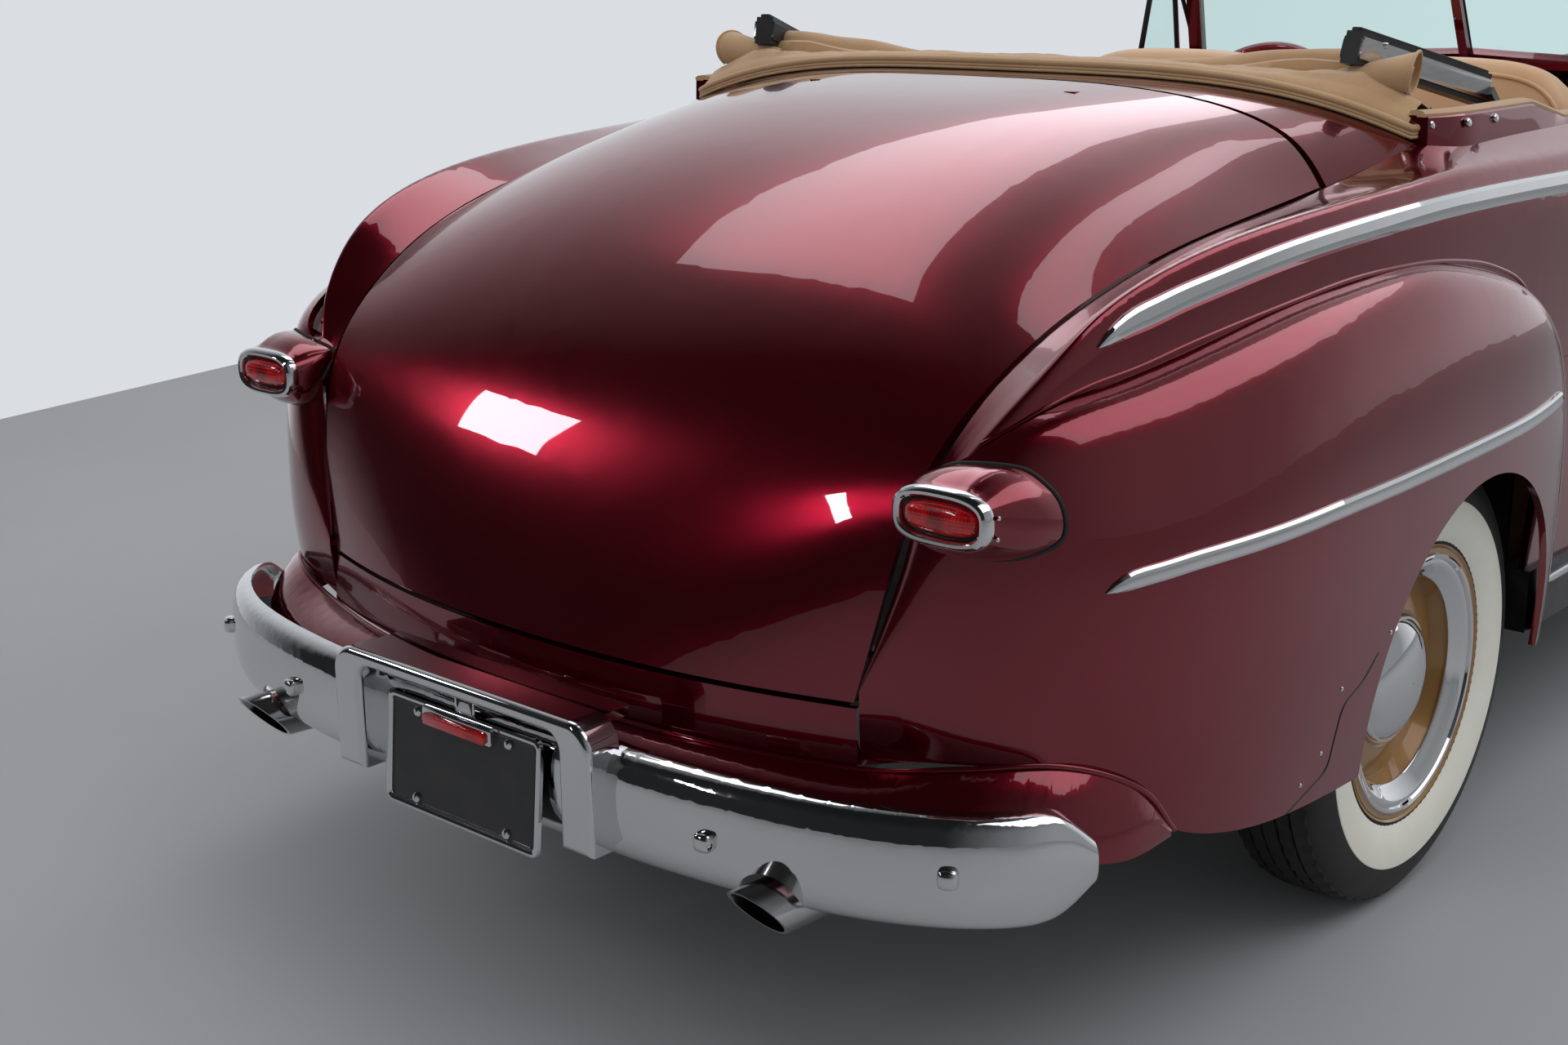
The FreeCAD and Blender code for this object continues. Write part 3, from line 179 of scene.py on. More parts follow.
def vary_cloth(place):
    x, y, z = place.parts()
    weave = x.ribs(620.0) * (y + z).ribs(620.0)
    fade = place.noise(6.0, 4.0, 0.6)
    threads = place.stretched(90.0, 900.0, 900.0).noise(1.0, 2.0)
    faded = (fade * 0.7 + threads * 0.3).between(0.3, 0.7)
    return {"Base Color": faded.colours(rgb(0.40, 0.235, 0.11), rgb(0.52, 0.33, 0.17)),
            "Roughness": threads * 0.1 + 0.78,
            "Normal": (weave * 0.7 + threads * 0.5).bump(0.35, 0.0007)}


def vary_rubber(place):
    return {"Base Color": place.noise(40.0, 4.0).colours(rgb(0.010, 0.010, 0.010),
                                                         rgb(0.022, 0.021, 0.020)),
            "Roughness": place.noise(25.0, 3.0) * 0.2 + 0.5,
            "Normal": place.noise(700.0, 2.0).bump(0.15, 0.0003)}


def vary_whitewall(place):
    scuffs = place.noise(12.0, 4.0, 0.6).between(0.3, 0.8)
    return {"Base Color": scuffs.colours(rgb(0.86, 0.84, 0.74), rgb(0.80, 0.77, 0.65)),
            "Roughness": place.noise(30.0, 3.0) * 0.15 + 0.45}


def vary_caramel(place):
    return {"Base Color": place.noise(5.0, 3.0).colours(rgb(0.32, 0.165, 0.045), rgb(0.38, 0.20, 0.06)),
            "Roughness": place.noise(20.0, 2.0) * 0.08 + 0.28}


def vary_iron(place):
    grit = place.noise(180.0, 5.0, 0.7)
    return {"Base Color": grit.colours(rgb(0.03, 0.03, 0.032), rgb(0.09, 0.085, 0.08)),
            "Roughness": grit * 0.3 + 0.5,
            "Normal": grit.bump(0.4, 0.001)}


def vary_carpet(place):
    tuft = place.cells(700.0)
    return {"Base Color": place.noise(9.0, 4.0).colours(rgb(0.16, 0.085, 0.04), rgb(0.24, 0.135, 0.07)),
            "Roughness": tuft * 0.1 + 0.88,
            "Normal": tuft.bump(0.8, 0.002)}


def vary_lens(place):
    """Red prisms with painted highlights on their ribs, and painted shade round the bulb's socket."""
    x, _, z = place.parts()
    prisms = x.ribs(210.0) * z.ribs(210.0)
    depth = place.noise(70.0, 3.0)
    off_x, off_z = x.math("ABSOLUTE", x) - TAIL_LAMP[0], z - TAIL_LAMP[2]
    socket = x.math("SQRT", off_x * off_x + off_z * off_z).between(0.006, 0.020)
    # painted light: the red brightens on the prism ribs as painted highlights and darkens round the socket
    # as painted shade
    glow = ((prisms * 0.35 + depth * 0.8) * (socket * 0.7 + 0.3)).between(0.2, 0.9)
    return {"Base Color": glow.colours(rgb(0.10, 0.0, 0.002), rgb(0.66, 0.006, 0.008)),
            "Normal": prisms.bump(0.4, 0.0010)}


def vary_wheel_rim(place):
    return {"Base Color": place.noise(30.0, 2.0).colours(rgb(0.17, 0.003, 0.012), rgb(0.23, 0.005, 0.018)),
            "Roughness": place.noise(40.0, 2.0) * 0.08 + 0.2}


def vary_dial(place):
    return {"Base Color": place.noise(80.0).colours(rgb(0.62, 0.56, 0.42), rgb(0.70, 0.64, 0.50)),
            "Roughness": place.parts()[0].ribs(60.0) * 0.05 + 0.4}


def vary_glass(place):
    return {"Roughness": place.noise(12.0, 3.0) * 0.02}


def vary_flutes(place):
    return {"Roughness": place.noise(20.0) * 0.04 + 0.03,
            "Normal": place.parts()[0].ribs(110.0).bump(0.8, 0.002)}


def vary_floor(place):
    return {"Base Color": place.noise(1.3, 4.0).colours(rgb(0.37, 0.38, 0.39), rgb(0.41, 0.42, 0.43))}


PAINT = finish("maroon_paint", {"Metallic": 0.92, "Coat Weight": 1.0, "Coat Roughness": 0.015,
                                "Coat IOR": 1.62}, vary_paint)
CHROME = finish("bright_plating", {"Metallic": 1.0}, vary_chrome)
BLACK = finish("satin_black", {"Metallic": 0.0, "Coat Weight": 0.2}, vary_black)
STEEL = finish("polished_pipe", {"Metallic": 1.0}, vary_steel)
LEATHER = finish("tan_hide", {"Sheen Weight": 0.1, "Coat Weight": 0.12, "Coat Roughness": 0.35},
                 vary_leather)
CLOTH = finish("tan_canvas", {"Sheen Weight": 0.35, "Sheen Roughness": 0.5}, vary_cloth)
RUBBER = finish("black_rubber", {}, vary_rubber)
WHITEWALL = finish("white_wall", {"Subsurface Weight": 0.05}, vary_whitewall)
CARAMEL = finish("caramel_enamel", {"Metallic": 0.25, "Coat Weight": 0.8, "Coat Roughness": 0.05},
                 vary_caramel)
IRON = finish("cast_grey", {"Metallic": 0.4}, vary_iron)
CARPET = finish("brown_carpet", {"Sheen Weight": 0.5}, vary_carpet)
# the red lenses' faint emission is a painted glow; the lamps are not lit
RED_LENS = finish("red_lens", {"Roughness": 0.08, "Coat Weight": 1.0, "Coat Roughness": 0.01, "IOR": 1.5,
                               "Emission Color": rgb(0.5, 0.0, 0.0), "Emission Strength": 0.06}, vary_lens)
WHEEL_PLASTIC = finish("maroon_rim", {"Coat Weight": 1.0, "Coat Roughness": 0.03}, vary_wheel_rim)
DIAL = finish("dial_face", {}, vary_dial)
GLASS = finish("tinted_glass", {"Base Color": rgb(0.72, 0.90, 0.87), "Transmission Weight": 1.0,
                                "IOR": 1.08}, vary_glass)
FLUTED = finish("fluted_lamp_glass", {"Base Color": rgb(0.92, 0.94, 0.95), "Transmission Weight": 1.0,
                                      "IOR": 1.35}, vary_flutes)

# Each slot's finishes; the first is the one its CAD nodes take.
SLOTS = {"body_paint": [PAINT], "black_paint": [BLACK], "chrome": [CHROME, DIAL], "steel": [STEEL],
         "clear_glass": [GLASS, FLUTED], "red_glass": [RED_LENS], "leather": [LEATHER, CARPET],
         "top_cloth": [CLOTH], "wheel_plastic": [WHEEL_PLASTIC], "cast_iron": [IRON],
         "tyre": [RUBBER, WHITEWALL], "wheel_paint": [CARAMEL]}
for entry in frame["record"]["subparts"]:
    node_mesh = nodes[entry["node"]].data
    node_mesh.materials.clear()
    node_mesh.materials.append(SLOTS[entry["material_slot"]][0])


# Tools for shapes.
def clamp(value):
    return max(0.0, min(1.0, value))


def sided(side, x, y, z):
    """A point given for the left side, on the side asked for."""
    return Vector((x * side, y, z))


def mirror(points, side):
    return [(x * side, y, z) for x, y, z in points]


def piece(name, shape, material, body="car_body", crease=32.0):
    """A mesh of corners and faces that rides on a body; edges sharper than the crease stay sharp."""
    corners, faces = shape
    mesh = bpy.data.meshes.new(name)
    mesh.from_pydata([tuple(c) for c in corners], [], faces)
    made = bpy.data.objects.new(name, mesh)
    scene.collection.objects.link(made)
    skin = bmesh.new()
    skin.from_mesh(mesh)
    bmesh.ops.recalc_face_normals(skin, faces=skin.faces)
    skin.to_mesh(mesh)
    skin.free()
    mesh.shade_smooth()
    mesh.set_sharp_from_angle(angle=math.radians(crease))
    mesh.materials.append(material)
    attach(made, body)
    return made


def knit(rows, ring=False, loop=False):
    """Corners and faces of rows of points: ring closes each row, loop joins the last row to the first.
    Rings that aren't joined in a loop are capped."""
    wide = len(rows[0])
    corners = [point for row in rows for point in row]
    faces = []
    for i in range(len(rows) if loop else len(rows) - 1):
        here, there = i * wide, (i + 1) % len(rows) * wide
        for k in range(wide if ring else wide - 1):
            after = (k + 1) % wide
            faces.append((here + k, here + after, there + after, there + k))
    if ring and not loop:
        faces.append(tuple(range(wide)))
        faces.append(tuple(range(len(corners) - wide, len(corners))))
    return corners, faces


def flow(points, count):
    """Evenly spaced points on a smooth curve through the given ones."""
    points = [Vector(p) for p in points]
    steps = 24
    fine = []
    for i in range(len(points) - 1):
        a, b = points[i], points[i + 1]
        before = points[i - 1] if i else a * 2 - b
        after = points[i + 2] if i + 2 < len(points) else b * 2 - a
        for k in range(steps):
            s = k / steps
            fine.append(0.5 * ((2 * a) + (b - before) * s + (2 * before - 5 * a + 4 * b - after) * s ** 2
                               + (3 * a - before - 3 * b + after) * s ** 3))
    fine.append(points[-1])
    run = [0.0]
    for a, b in zip(fine, fine[1:]):
        run.append(run[-1] + (b - a).length)
    out, k = [], 0
    for i in range(count):
        want = run[-1] * i / (count - 1)
        while k < len(run) - 2 and run[k + 1] < want:
            k += 1
        share = (want - run[k]) / max(1e-9, run[k + 1] - run[k])
        out.append(fine[k].lerp(fine[k + 1], share))
    return out


def loop_flow(points, count):
    """A closed smooth ring through the points."""
    around = [Vector(p) for p in points]
    return flow(around[-2:] + around + around[:3], count * (len(points) + 4) // len(points))


def swept(path, ups, section, loop=False):
    """Rows of a section's (across, up) points carried along a path."""
    rows = []
    last = len(path) - 1
    for i, point in enumerate(path):
        if loop:
            along = path[(i + 1) % len(path)] - path[i - 1]
        else:
            along = path[min(last, i + 1)] - path[max(0, i - 1)]
        along.normalize()
        up = ups[i] if isinstance(ups, list) else ups
        up = (up - along * up.dot(along)).normalized()
        across = along.cross(up)
        rows.append([point + across * a + up * b for a, b in section(i / last)])
    return rows


def bead(name, path, radius, material, up=UP, loop=False, count=10, body="car_body"):
    """A round bead along a path."""
    ring = [(radius * math.cos(math.tau * k / count), radius * math.sin(math.tau * k / count))
            for k in range(count)]
    rows = swept(path, up, lambda t: ring, loop)
    return piece(name, knit(rows, ring=True, loop=loop), material, body, 60)


def lathe(profile, centre, axis, steps):
    """Rows of a profile of (along, radius) points turned about an axis."""
    axis = Vector(axis).normalized()
    out = (UP - axis * UP.dot(axis)).normalized()
    side = axis.cross(out)
    rows = []
    for i in range(steps):
        a = math.tau * i / steps
        spoke = out * math.cos(a) + side * math.sin(a)
        rows.append([Vector(centre) + axis * along + spoke * radius for along, radius in profile])
    return rows


def turned(name, profile, centre, axis, material, steps, body="car_body"):
    """A profile turned about an axis, smooth up to the usual crease."""
    return piece(name, knit(lathe(profile, centre, axis, steps), loop=True), material, body)


def rounded(angle, power):
    """A point of a unit oval at the angle, squarer as the power falls below 1."""
    c, s = math.cos(angle), math.sin(angle)
    return math.copysign(abs(c) ** power, c), math.copysign(abs(s) ** power, s)


def surface(*names):
    """The CAD nodes' faces, to cast rays at."""
    corners, faces = [], []
    for name in names:
        mesh = nodes[name].data
        start = len(corners)
        corners += [v.co.copy() for v in mesh.vertices]
        mesh.calc_loop_triangles()
        faces += [[start + k for k in face.vertices] for face in mesh.loop_triangles]
    return BVHTree.FromPolygons(corners, faces)


def land(tree, start, direction):
    """Where a ray first lands, and the surface's normal on the side it came from."""
    spot, normal, _, _ = tree.ray_cast(start, direction)
    if spot is None:
        return None, None
    return spot, normal if normal.dot(direction) < 0 else -normal


RIDGE = [(-1.0, -0.1), (-0.93, 0.45), (-0.62, 0.82), (0.0, 1.0), (0.62, 0.82), (0.93, 0.45), (1.0, -0.1)]


def moulding(name, tree, points, toward, half, rise, body, tapers, count):
    """A bright strip laid on a surface, its ends drawn to a point over the given lengths."""
    toward = Vector(toward)
    spots, ups = [], []
    for point in flow(points, count):
        spot, up = land(tree, point + toward * 0.3, -toward)
        if spot is not None:
            spots.append(spot)
            ups.append(up)
    last = len(ups) - 1
    for _ in range(3):
        ups = [(ups[max(0, i - 1)] + ups[i] + ups[min(last, i + 1)]).normalized() for i in range(len(ups))]
    total = sum((b - a).length for a, b in zip(spots, spots[1:]))

    def section(t):
        size = 1.0
        for length, gone in ((tapers[0], t * total), (tapers[1], (1 - t) * total)):
            if length > 0:
                size *= math.sin(min(1.0, gone / length) * math.pi / 2) ** 0.7 * 0.96 + 0.04
        return [(a * half * size, b * rise * (0.4 + 0.6 * size)) for a, b in RIDGE]
    return piece(name, knit(swept(spots, ups, section), ring=True), CHROME, body, 25)


def bolt_head(name, tree, start, direction, radius, rise, squareness=0.62):
    """A domed head where a ray from start lands, or at start itself where there is no tree."""
    start, direction = Vector(start), Vector(direction)
    spot, up = land(tree, start, direction) if tree else (start, -direction.normalized())
    across = up.cross(UP).normalized()
    above = across.cross(up)
    rows = []
    for share, height in ((1.0, -0.002), (1.0, 0.30), (0.94, 0.62), (0.78, 0.86), (0.5, 0.97), (0.15, 1.0)):
        ring = []
        for k in range(32):
            a, b = rounded(math.tau * k / 32, squareness)
            ring.append(spot + across * (radius * share * a) + above * (radius * share * b)
                        + up * (rise * height))
        rows.append(ring)
    return piece(name, knit(rows, ring=True), CHROME, crease=40)


def stuffed(power_x, power_ring, u, v, w):
    """Under 1 inside a stuffed block's skin, over 1 outside it."""
    return abs(u) ** power_x + (abs(v) ** power_ring + abs(w) ** power_ring) ** (power_x / power_ring)


def pillow(name, half, x, section, bulge, material=LEATHER, channels=0, face=(0, 1), powers=(9.0, 6.0),
           piping=()):
    """A soft block: a four-cornered side outline carried across, crowned, with sewn channels and piping."""
    corners = [Vector((0, y, z)) for y, z in section]
    channel_depth = 0.006

    def place(u, v, w):
        low = corners[0].lerp(corners[3], (v + 1) / 2)
        high = corners[1].lerp(corners[2], (v + 1) / 2)
        spot = low.lerp(high, (w + 1) / 2)
        round_u = 1 - u * u
        spot.z += bulge[0] * max(0.0, w) * round_u ** 0.7 * (1 - v * v)
        spot.y += bulge[1] * v * round_u ** 0.7 * (1 - w * w)
        return spot + Vector((x + half * u, 0, 0))

    out = (place(0, *face) - place(0, 0, 0)).normalized()
    spans = [(-1 + 2 * k / channels, 2 / channels) for k in range(channels)] if channels else [(-1.0, 2.0)]
    steps = (0, 0.05, 0.12, 0.25, 0.5, 0.75, 0.88, 0.95) if channels else [k / 30 for k in range(30)]
    across = sorted([(a + span * t, t) for a, span in spans for t in steps] + [(0.9995, 0.9995)]
                    + [(s * u, 0.5) for s in (-1, 1) for u in (0.9999, 0.997, 0.99, 0.975)])
    rows = []
    for u, t in across:
        if abs(u) > 0.99995:
            continue
        reach = (1 - abs(u) ** powers[0]) ** (1 / powers[0])
        sewn = channels and abs(u) < 0.97
        groove = channel_depth * (1 - math.sin(math.pi * t) ** 0.5) if sewn else 0.0
        row = []
        for k in range(56):
            a = math.tau * (k + 0.5) / 56
            c, s = math.cos(a), math.sin(a)
            m = reach / (abs(c) ** powers[1] + abs(s) ** powers[1]) ** (1 / powers[1])
            v, w = c * m, s * m
            share = clamp((v * face[0] + w * face[1] - 0.55) / 0.35)
            row.append(place(u, v, w) - out * (groove * share))
        rows.append(row)
    made = piece(name, knit(rows, ring=True), material, crease=50)
    for number, (axis, level) in enumerate(piping):
        path = []
        for k in range(120):
            a = math.tau * k / 120
            c, s = math.cos(a), math.sin(a)
            low, high = 0.0, 1.6
            for _ in range(24):
                r = (low + high) / 2
                spot = (r * c, level, r * s) if axis == "v" else (r * c, r * s, level)
                low, high = (r, high) if stuffed(*powers, *spot) < 1 else (low, r)
            path.append(place(*spot))
        bead("%s_piping_%d" % (name, number), path, 0.0048, material, Vector((0, 1, 0.3)), True, 8)
    return made


def bar(name, first, last, wide, high, material, body="car_body", up=UP, soft=0.25):
    """A straight bar with softened edges between two points."""
    first, last, up = Vector(first), Vector(last), Vector(up)
    share = min(wide, high) * soft / (last - first).length
    along = (last - first).normalized()
    rise = (up - along * along.dot(up)).normalized()
    side = along.cross(rise)
    path = [first, first.lerp(last, share), last.lerp(first, share), last]
    rows = []
    for point, size in zip(path, (1 - soft, 1.0, 1.0, 1 - soft)):
        ring = []
        for k in range(24):
            a = math.tau * (k + 0.5) / 24
            c, s = math.cos(a), math.sin(a)
            m = size / (abs(c) ** 6 + abs(s) ** 6) ** (1 / 6)
            ring.append(point + side * (c * m * wide / 2) + rise * (s * m * high / 2))
        rows.append(ring)
    return piece(name, knit(rows, ring=True), material, body, 40)


LAMP_SQUARENESS = 0.66


def ovals(name, centre, sizes, material, closed=True):
    """Squared ovals of (width, height, out) about a point, out along the car's length."""
    rows = []
    for wide, high, out in sizes:
        ring = []
        for k in range(72):
            a, b = rounded(math.tau * k / 72, LAMP_SQUARENESS)
            ring.append(Vector(centre) + Vector((wide / 2 * a, out, high / 2 * b)))
        rows.append(ring)
    return piece(name, knit(rows, ring=True, loop=closed), material, crease=28)


def lined(skin):
    """A row of cloth points with its underside, as one ring."""
    lining = []
    for k, point in enumerate(skin):
        run = (skin[min(len(skin) - 1, k + 1)] - skin[max(0, k - 1)]).normalized()
        lining.append(point - Vector((0, -run.z, run.y)) * CLOTH_THICK)
    return skin + lining[::-1]


# Bright mouldings on the body sides.
body_skin = surface("quarters", "rear_fenders", "front_fenders", "cowl")
hood_skin = surface("hood")
door_skins = {1: surface("door_left"), -1: surface("door_right")}
BELT_REAR = [(0.845, 0.613, 1.083), (0.840, 0.930, 1.087), (0.830, 1.244, 1.089), (0.819, 1.481, 1.083),
             (0.795, 1.754, 1.063), (0.769, 1.948, 1.035), (0.752, 2.033, 1.017), (0.740, 2.084, 1.003),
             (0.730, 2.128, 0.982)]
BELT_DOOR = [(0.82, -0.480, 1.070), (0.84, 0.100, 1.077), (0.845, 0.592, 1.083)]
BELT_HOOD = [(0.74, -0.775, 1.052), (0.70, -1.2, 1.036), (0.62, -1.7, 0.998), (0.50, -2.02, 0.945)]
STRIP_REAR = [(0.890, 1.012, 0.757), (0.903, 1.119, 0.752), (0.911, 1.227, 0.749), (0.916, 1.449, 0.747),
              (0.912, 1.639, 0.743), (0.904, 1.781, 0.740), (0.894, 1.893, 0.735), (0.878, 1.993, 0.731),
              (0.857, 2.077, 0.727), (0.841, 2.126, 0.722), (0.821, 2.172, 0.716), (0.803, 2.206, 0.703)]
STRIP_FRONT = [(0.85, -0.62, 0.735), (0.90, -1.0, 0.745), (0.92, -1.5, 0.75), (0.91, -1.9, 0.745),
               (0.86, -2.14, 0.728)]
for side, word in SIDES.items():
    for label, tree, points, half, rise, body, tapers, count in (
            ("belt_moulding_rear_", body_skin, BELT_REAR, 0.0180, 0.011, "car_body", (0.0, 0.09), 90),
            ("belt_moulding_door_", door_skins[side], BELT_DOOR, 0.0165, 0.010, word + "_door", (0.0, 0.0),
             40),
            ("belt_moulding_hood_", hood_skin, BELT_HOOD, 0.013, 0.008, "hood", (0.0, 0.10), 90),
            ("fender_strip_rear_", body_skin, STRIP_REAR, 0.0125, 0.0080, "car_body", (0.02, 0.05), 90),
            ("fender_strip_front_", body_skin, STRIP_FRONT, 0.0115, 0.0054, "car_body", (0.02, 0.06), 90)):
        moulding(label + word, tree, mirror(points, side), (side, 0, 0), half, rise, body, tapers, count)

# Bumper bolts.
bumper_skin = surface("bumpers")
for side, word in SIDES.items():
    for end, y, direction in (("rear", 2.8, FORWARD), ("front", -2.8, REARWARD)):
        for k, (x, z) in enumerate(((0.430, 0.377), (0.734, 0.385))):
            bolt_head("bumper_bolt_%s_%s_%d" % (end, word, k), bumper_skin, sided(side, x, y, z), direction,
                      0.0135, 0.014)

# Seats: stuffed forms with sewn channels and piping, on carpeted bases.
seat_pieces = [
    pillow("front_cushion", 0.655, 0, [(-0.345, 0.545), (-0.345, 0.675), (0.165, 0.655), (0.195, 0.545)],
           (0.028, 0.012), channels=14, piping=(("w", 0.72),)),
    pillow("rear_cushion", 0.615, 0, [(0.615, 0.545), (0.615, 0.690), (1.010, 0.670), (0.930, 0.545)],
           (0.025, 0.012), channels=13, piping=(("w", 0.72),)),
    pillow("rear_back", 0.615, 0, [(0.995, 0.630), (1.085, 1.115), (1.165, 1.115), (1.158, 0.630)],
           (0.012, 0.02), channels=13, face=(-1, 0), piping=(("v", -0.7),))]
for side, word in SIDES.items():
    seat_pieces.append(pillow(
        "front_back_" + word, 0.288, 0.294 * side,
        [(0.110, 0.605), (0.160, 1.212), (0.262, 1.212), (0.268, 0.605)], (0.022, 0.026), channels=7,
        face=(-1, 0), powers=(5.0, 4.6), piping=(("v", -0.72), ("v", 0.72))))
for end, front, rear in (("front", -0.30, 0.15), ("rear", 0.66, 0.92)):
    seat_pieces.append(pillow(
        end + "_seat_base", 0.56, 0, [(front, 0.392), (front, 0.56), (rear, 0.56), (rear, 0.392)], (0, 0),
        CARPET, powers=(30.0, 16.0)))
for one in seat_pieces:
    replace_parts(one, "seats")


# Folded top: its outer cloth along the deck edge, with a hem roll and two beads.
DECK_HALF = 0.742
DECK_FRONT = 1.295
DECK_TOP = 1.247
DECK_DROP = 0.082
CORNER_TURN = 0.010


def deck_edge(f):
    """The deck's front edge, from -1 at the right end to 1 at the left."""
    return Vector((f * DECK_HALF, DECK_FRONT - CORNER_TURN * abs(f) ** 30,
                   DECK_TOP - DECK_DROP * abs(f) ** 3.6))


def side_swell(f):
    """How far the cloth swells over the irons' ends, 0 to 1."""
    return clamp((abs(f) - 0.5) / 0.34) ** 1.6 * (1 - 0.25 * max(0.0, (abs(f) - 0.84) / 0.12))


# The cloth's line from the cockpit over to the deck: back, rise and the share of ripple and swell.
CLOTH_LINE = [(-0.120, -0.075, 0), (-0.118, -0.030, 0.3), (-0.112, -0.004, 0.8), (-0.098, 0.009, 1),
              (-0.082, 0.016, 1), (-0.078, 0.013, 1), (-0.070, 0.019, 1), (-0.050, 0.0265, 1),
              (-0.036, 0.0275, 0.8), (-0.030, 0.0245, 0.6), (-0.024, 0.0265, 0.4), (-0.0150, 0.0245, 0.2),
              (-0.0085, 0.0200, 0.1), (-0.0058, 0.0140, 0), (-0.0052, 0.0080, 0), (-0.0050, 0.0035, 0)]
SWELL = 0.034
CLOTH_END = 0.972
HEM_END = 0.982
cloth_rows = []
for i in range(-60, 61):
    f = CLOTH_END * i / 60
    edge = deck_edge(f)
    skin = []
    for back, rise, share in CLOTH_LINE:
        ripple = (0.0016 * math.sin(f * 23 + back * 90) * share
                  + 0.0011 * math.sin(f * 61 - back * 200) * share)
        skin.append(edge + Vector((0, back, rise + ripple + SWELL * side_swell(f) * share)))
    cloth_rows.append(lined(skin))
folded_cloth = piece("folded_cloth", knit(cloth_rows, ring=True), CLOTH, crease=50)
hem_pieces = []
for name, back, rise, radius in (("hem_roll", -0.0065, 0.0165, 0.0062),
                                 ("hem_bead_upper", -0.0042, 0.0088, 0.0028),
                                 ("hem_bead_lower", -0.0034, 0.0036, 0.0028)):
    path = [deck_edge(HEM_END * i / 60) + Vector((0, back, rise)) for i in range(-60, 61)]
    for side in (-1, 1):
        tail = [deck_edge(HEM_END * side) + Vector((side * d, back - s, rise + h))
                for d, s, h in ((0.004, 0.010, 0.001), (0.004, 0.020, 0.002), (0.000, 0.030, 0.003))]
        path = path + tail if side == 1 else tail[::-1] + path
    hem_pieces.append(bead(name, path, radius, CLOTH))

# The top's own canvas, doubled behind the rear seat.
FOLD_LINE = [(1.168, -0.090), (1.163, -0.040), (1.165, -0.008), (1.174, 0.004), (1.186, 0.002),
             (1.194, -0.006), (1.197, -0.016), (1.203, -0.012), (1.211, -0.014), (1.216, -0.026),
             (1.217, -0.060)]
FOLD_HALF = 0.66
FOLD_TOP = 1.262
FOLD_LIFT = 0.030
fold_rows = []
for i in range(-44, 45):
    x = FOLD_HALF * i / 44
    high = (FOLD_TOP + FOLD_LIFT * clamp((abs(x) - 0.22) / 0.30)
            - FOLD_LIFT * max(0.0, (abs(x) - 0.60) / 0.06))
    fold_rows.append(lined([
        Vector((x, y + 0.004 * math.sin(x * 9), high + rise + 0.002 * math.sin(x * 31 + y * 50)))
        for y, rise in FOLD_LINE]))
canvas_fold = piece("canvas_fold", knit(fold_rows, ring=True), CLOTH, crease=50)

# Canvas rolled round the end of each iron.
MOUTH_RADIUS = 0.034
TIP_RADIUS = 0.015
ROLL_CLIMB = 0.0042
ROLL_THICK = 0.0020
for side, word in SIDES.items():
    mouth, tip = sided(side, 0.698, 1.222, 1.263), sided(side, 0.575, 1.222, 1.252)
    axis = (tip - mouth).normalized()
    level = (REARWARD - axis * REARWARD.dot(axis)).normalized()
    rise = level.cross(axis) * side
    rise = rise if rise.z > 0 else -rise
    rows = []
    for j in range(15):
        t = j / 14
        skin, lining = [], []
        for k in range(73):
            a = -0.9 + (math.tau + 1.3) * k / 72
            swell = MOUTH_RADIUS * (1 - t) + TIP_RADIUS * t - ROLL_CLIMB * (a / math.tau)
            spot = mouth.lerp(tip, t) - axis * (0.012 * (1 - t) * math.cos(a - 0.7))
            arm = level * (math.cos(a) * 1.12) + rise * math.sin(a)
            skin.append(spot + arm * swell)
            lining.append(spot + arm * (swell - ROLL_THICK))
        rows.append(skin + lining[::-1])
    cone = piece("canvas_cone_" + word, knit(rows, ring=True), CLOTH, crease=45)
    hem = bead("canvas_cone_hem_" + word, rows[0][:73], 0.0024, CLOTH, axis, False, 8)
for one in [folded_cloth, canvas_fold] + hem_pieces:
    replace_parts(one, "folded_top")

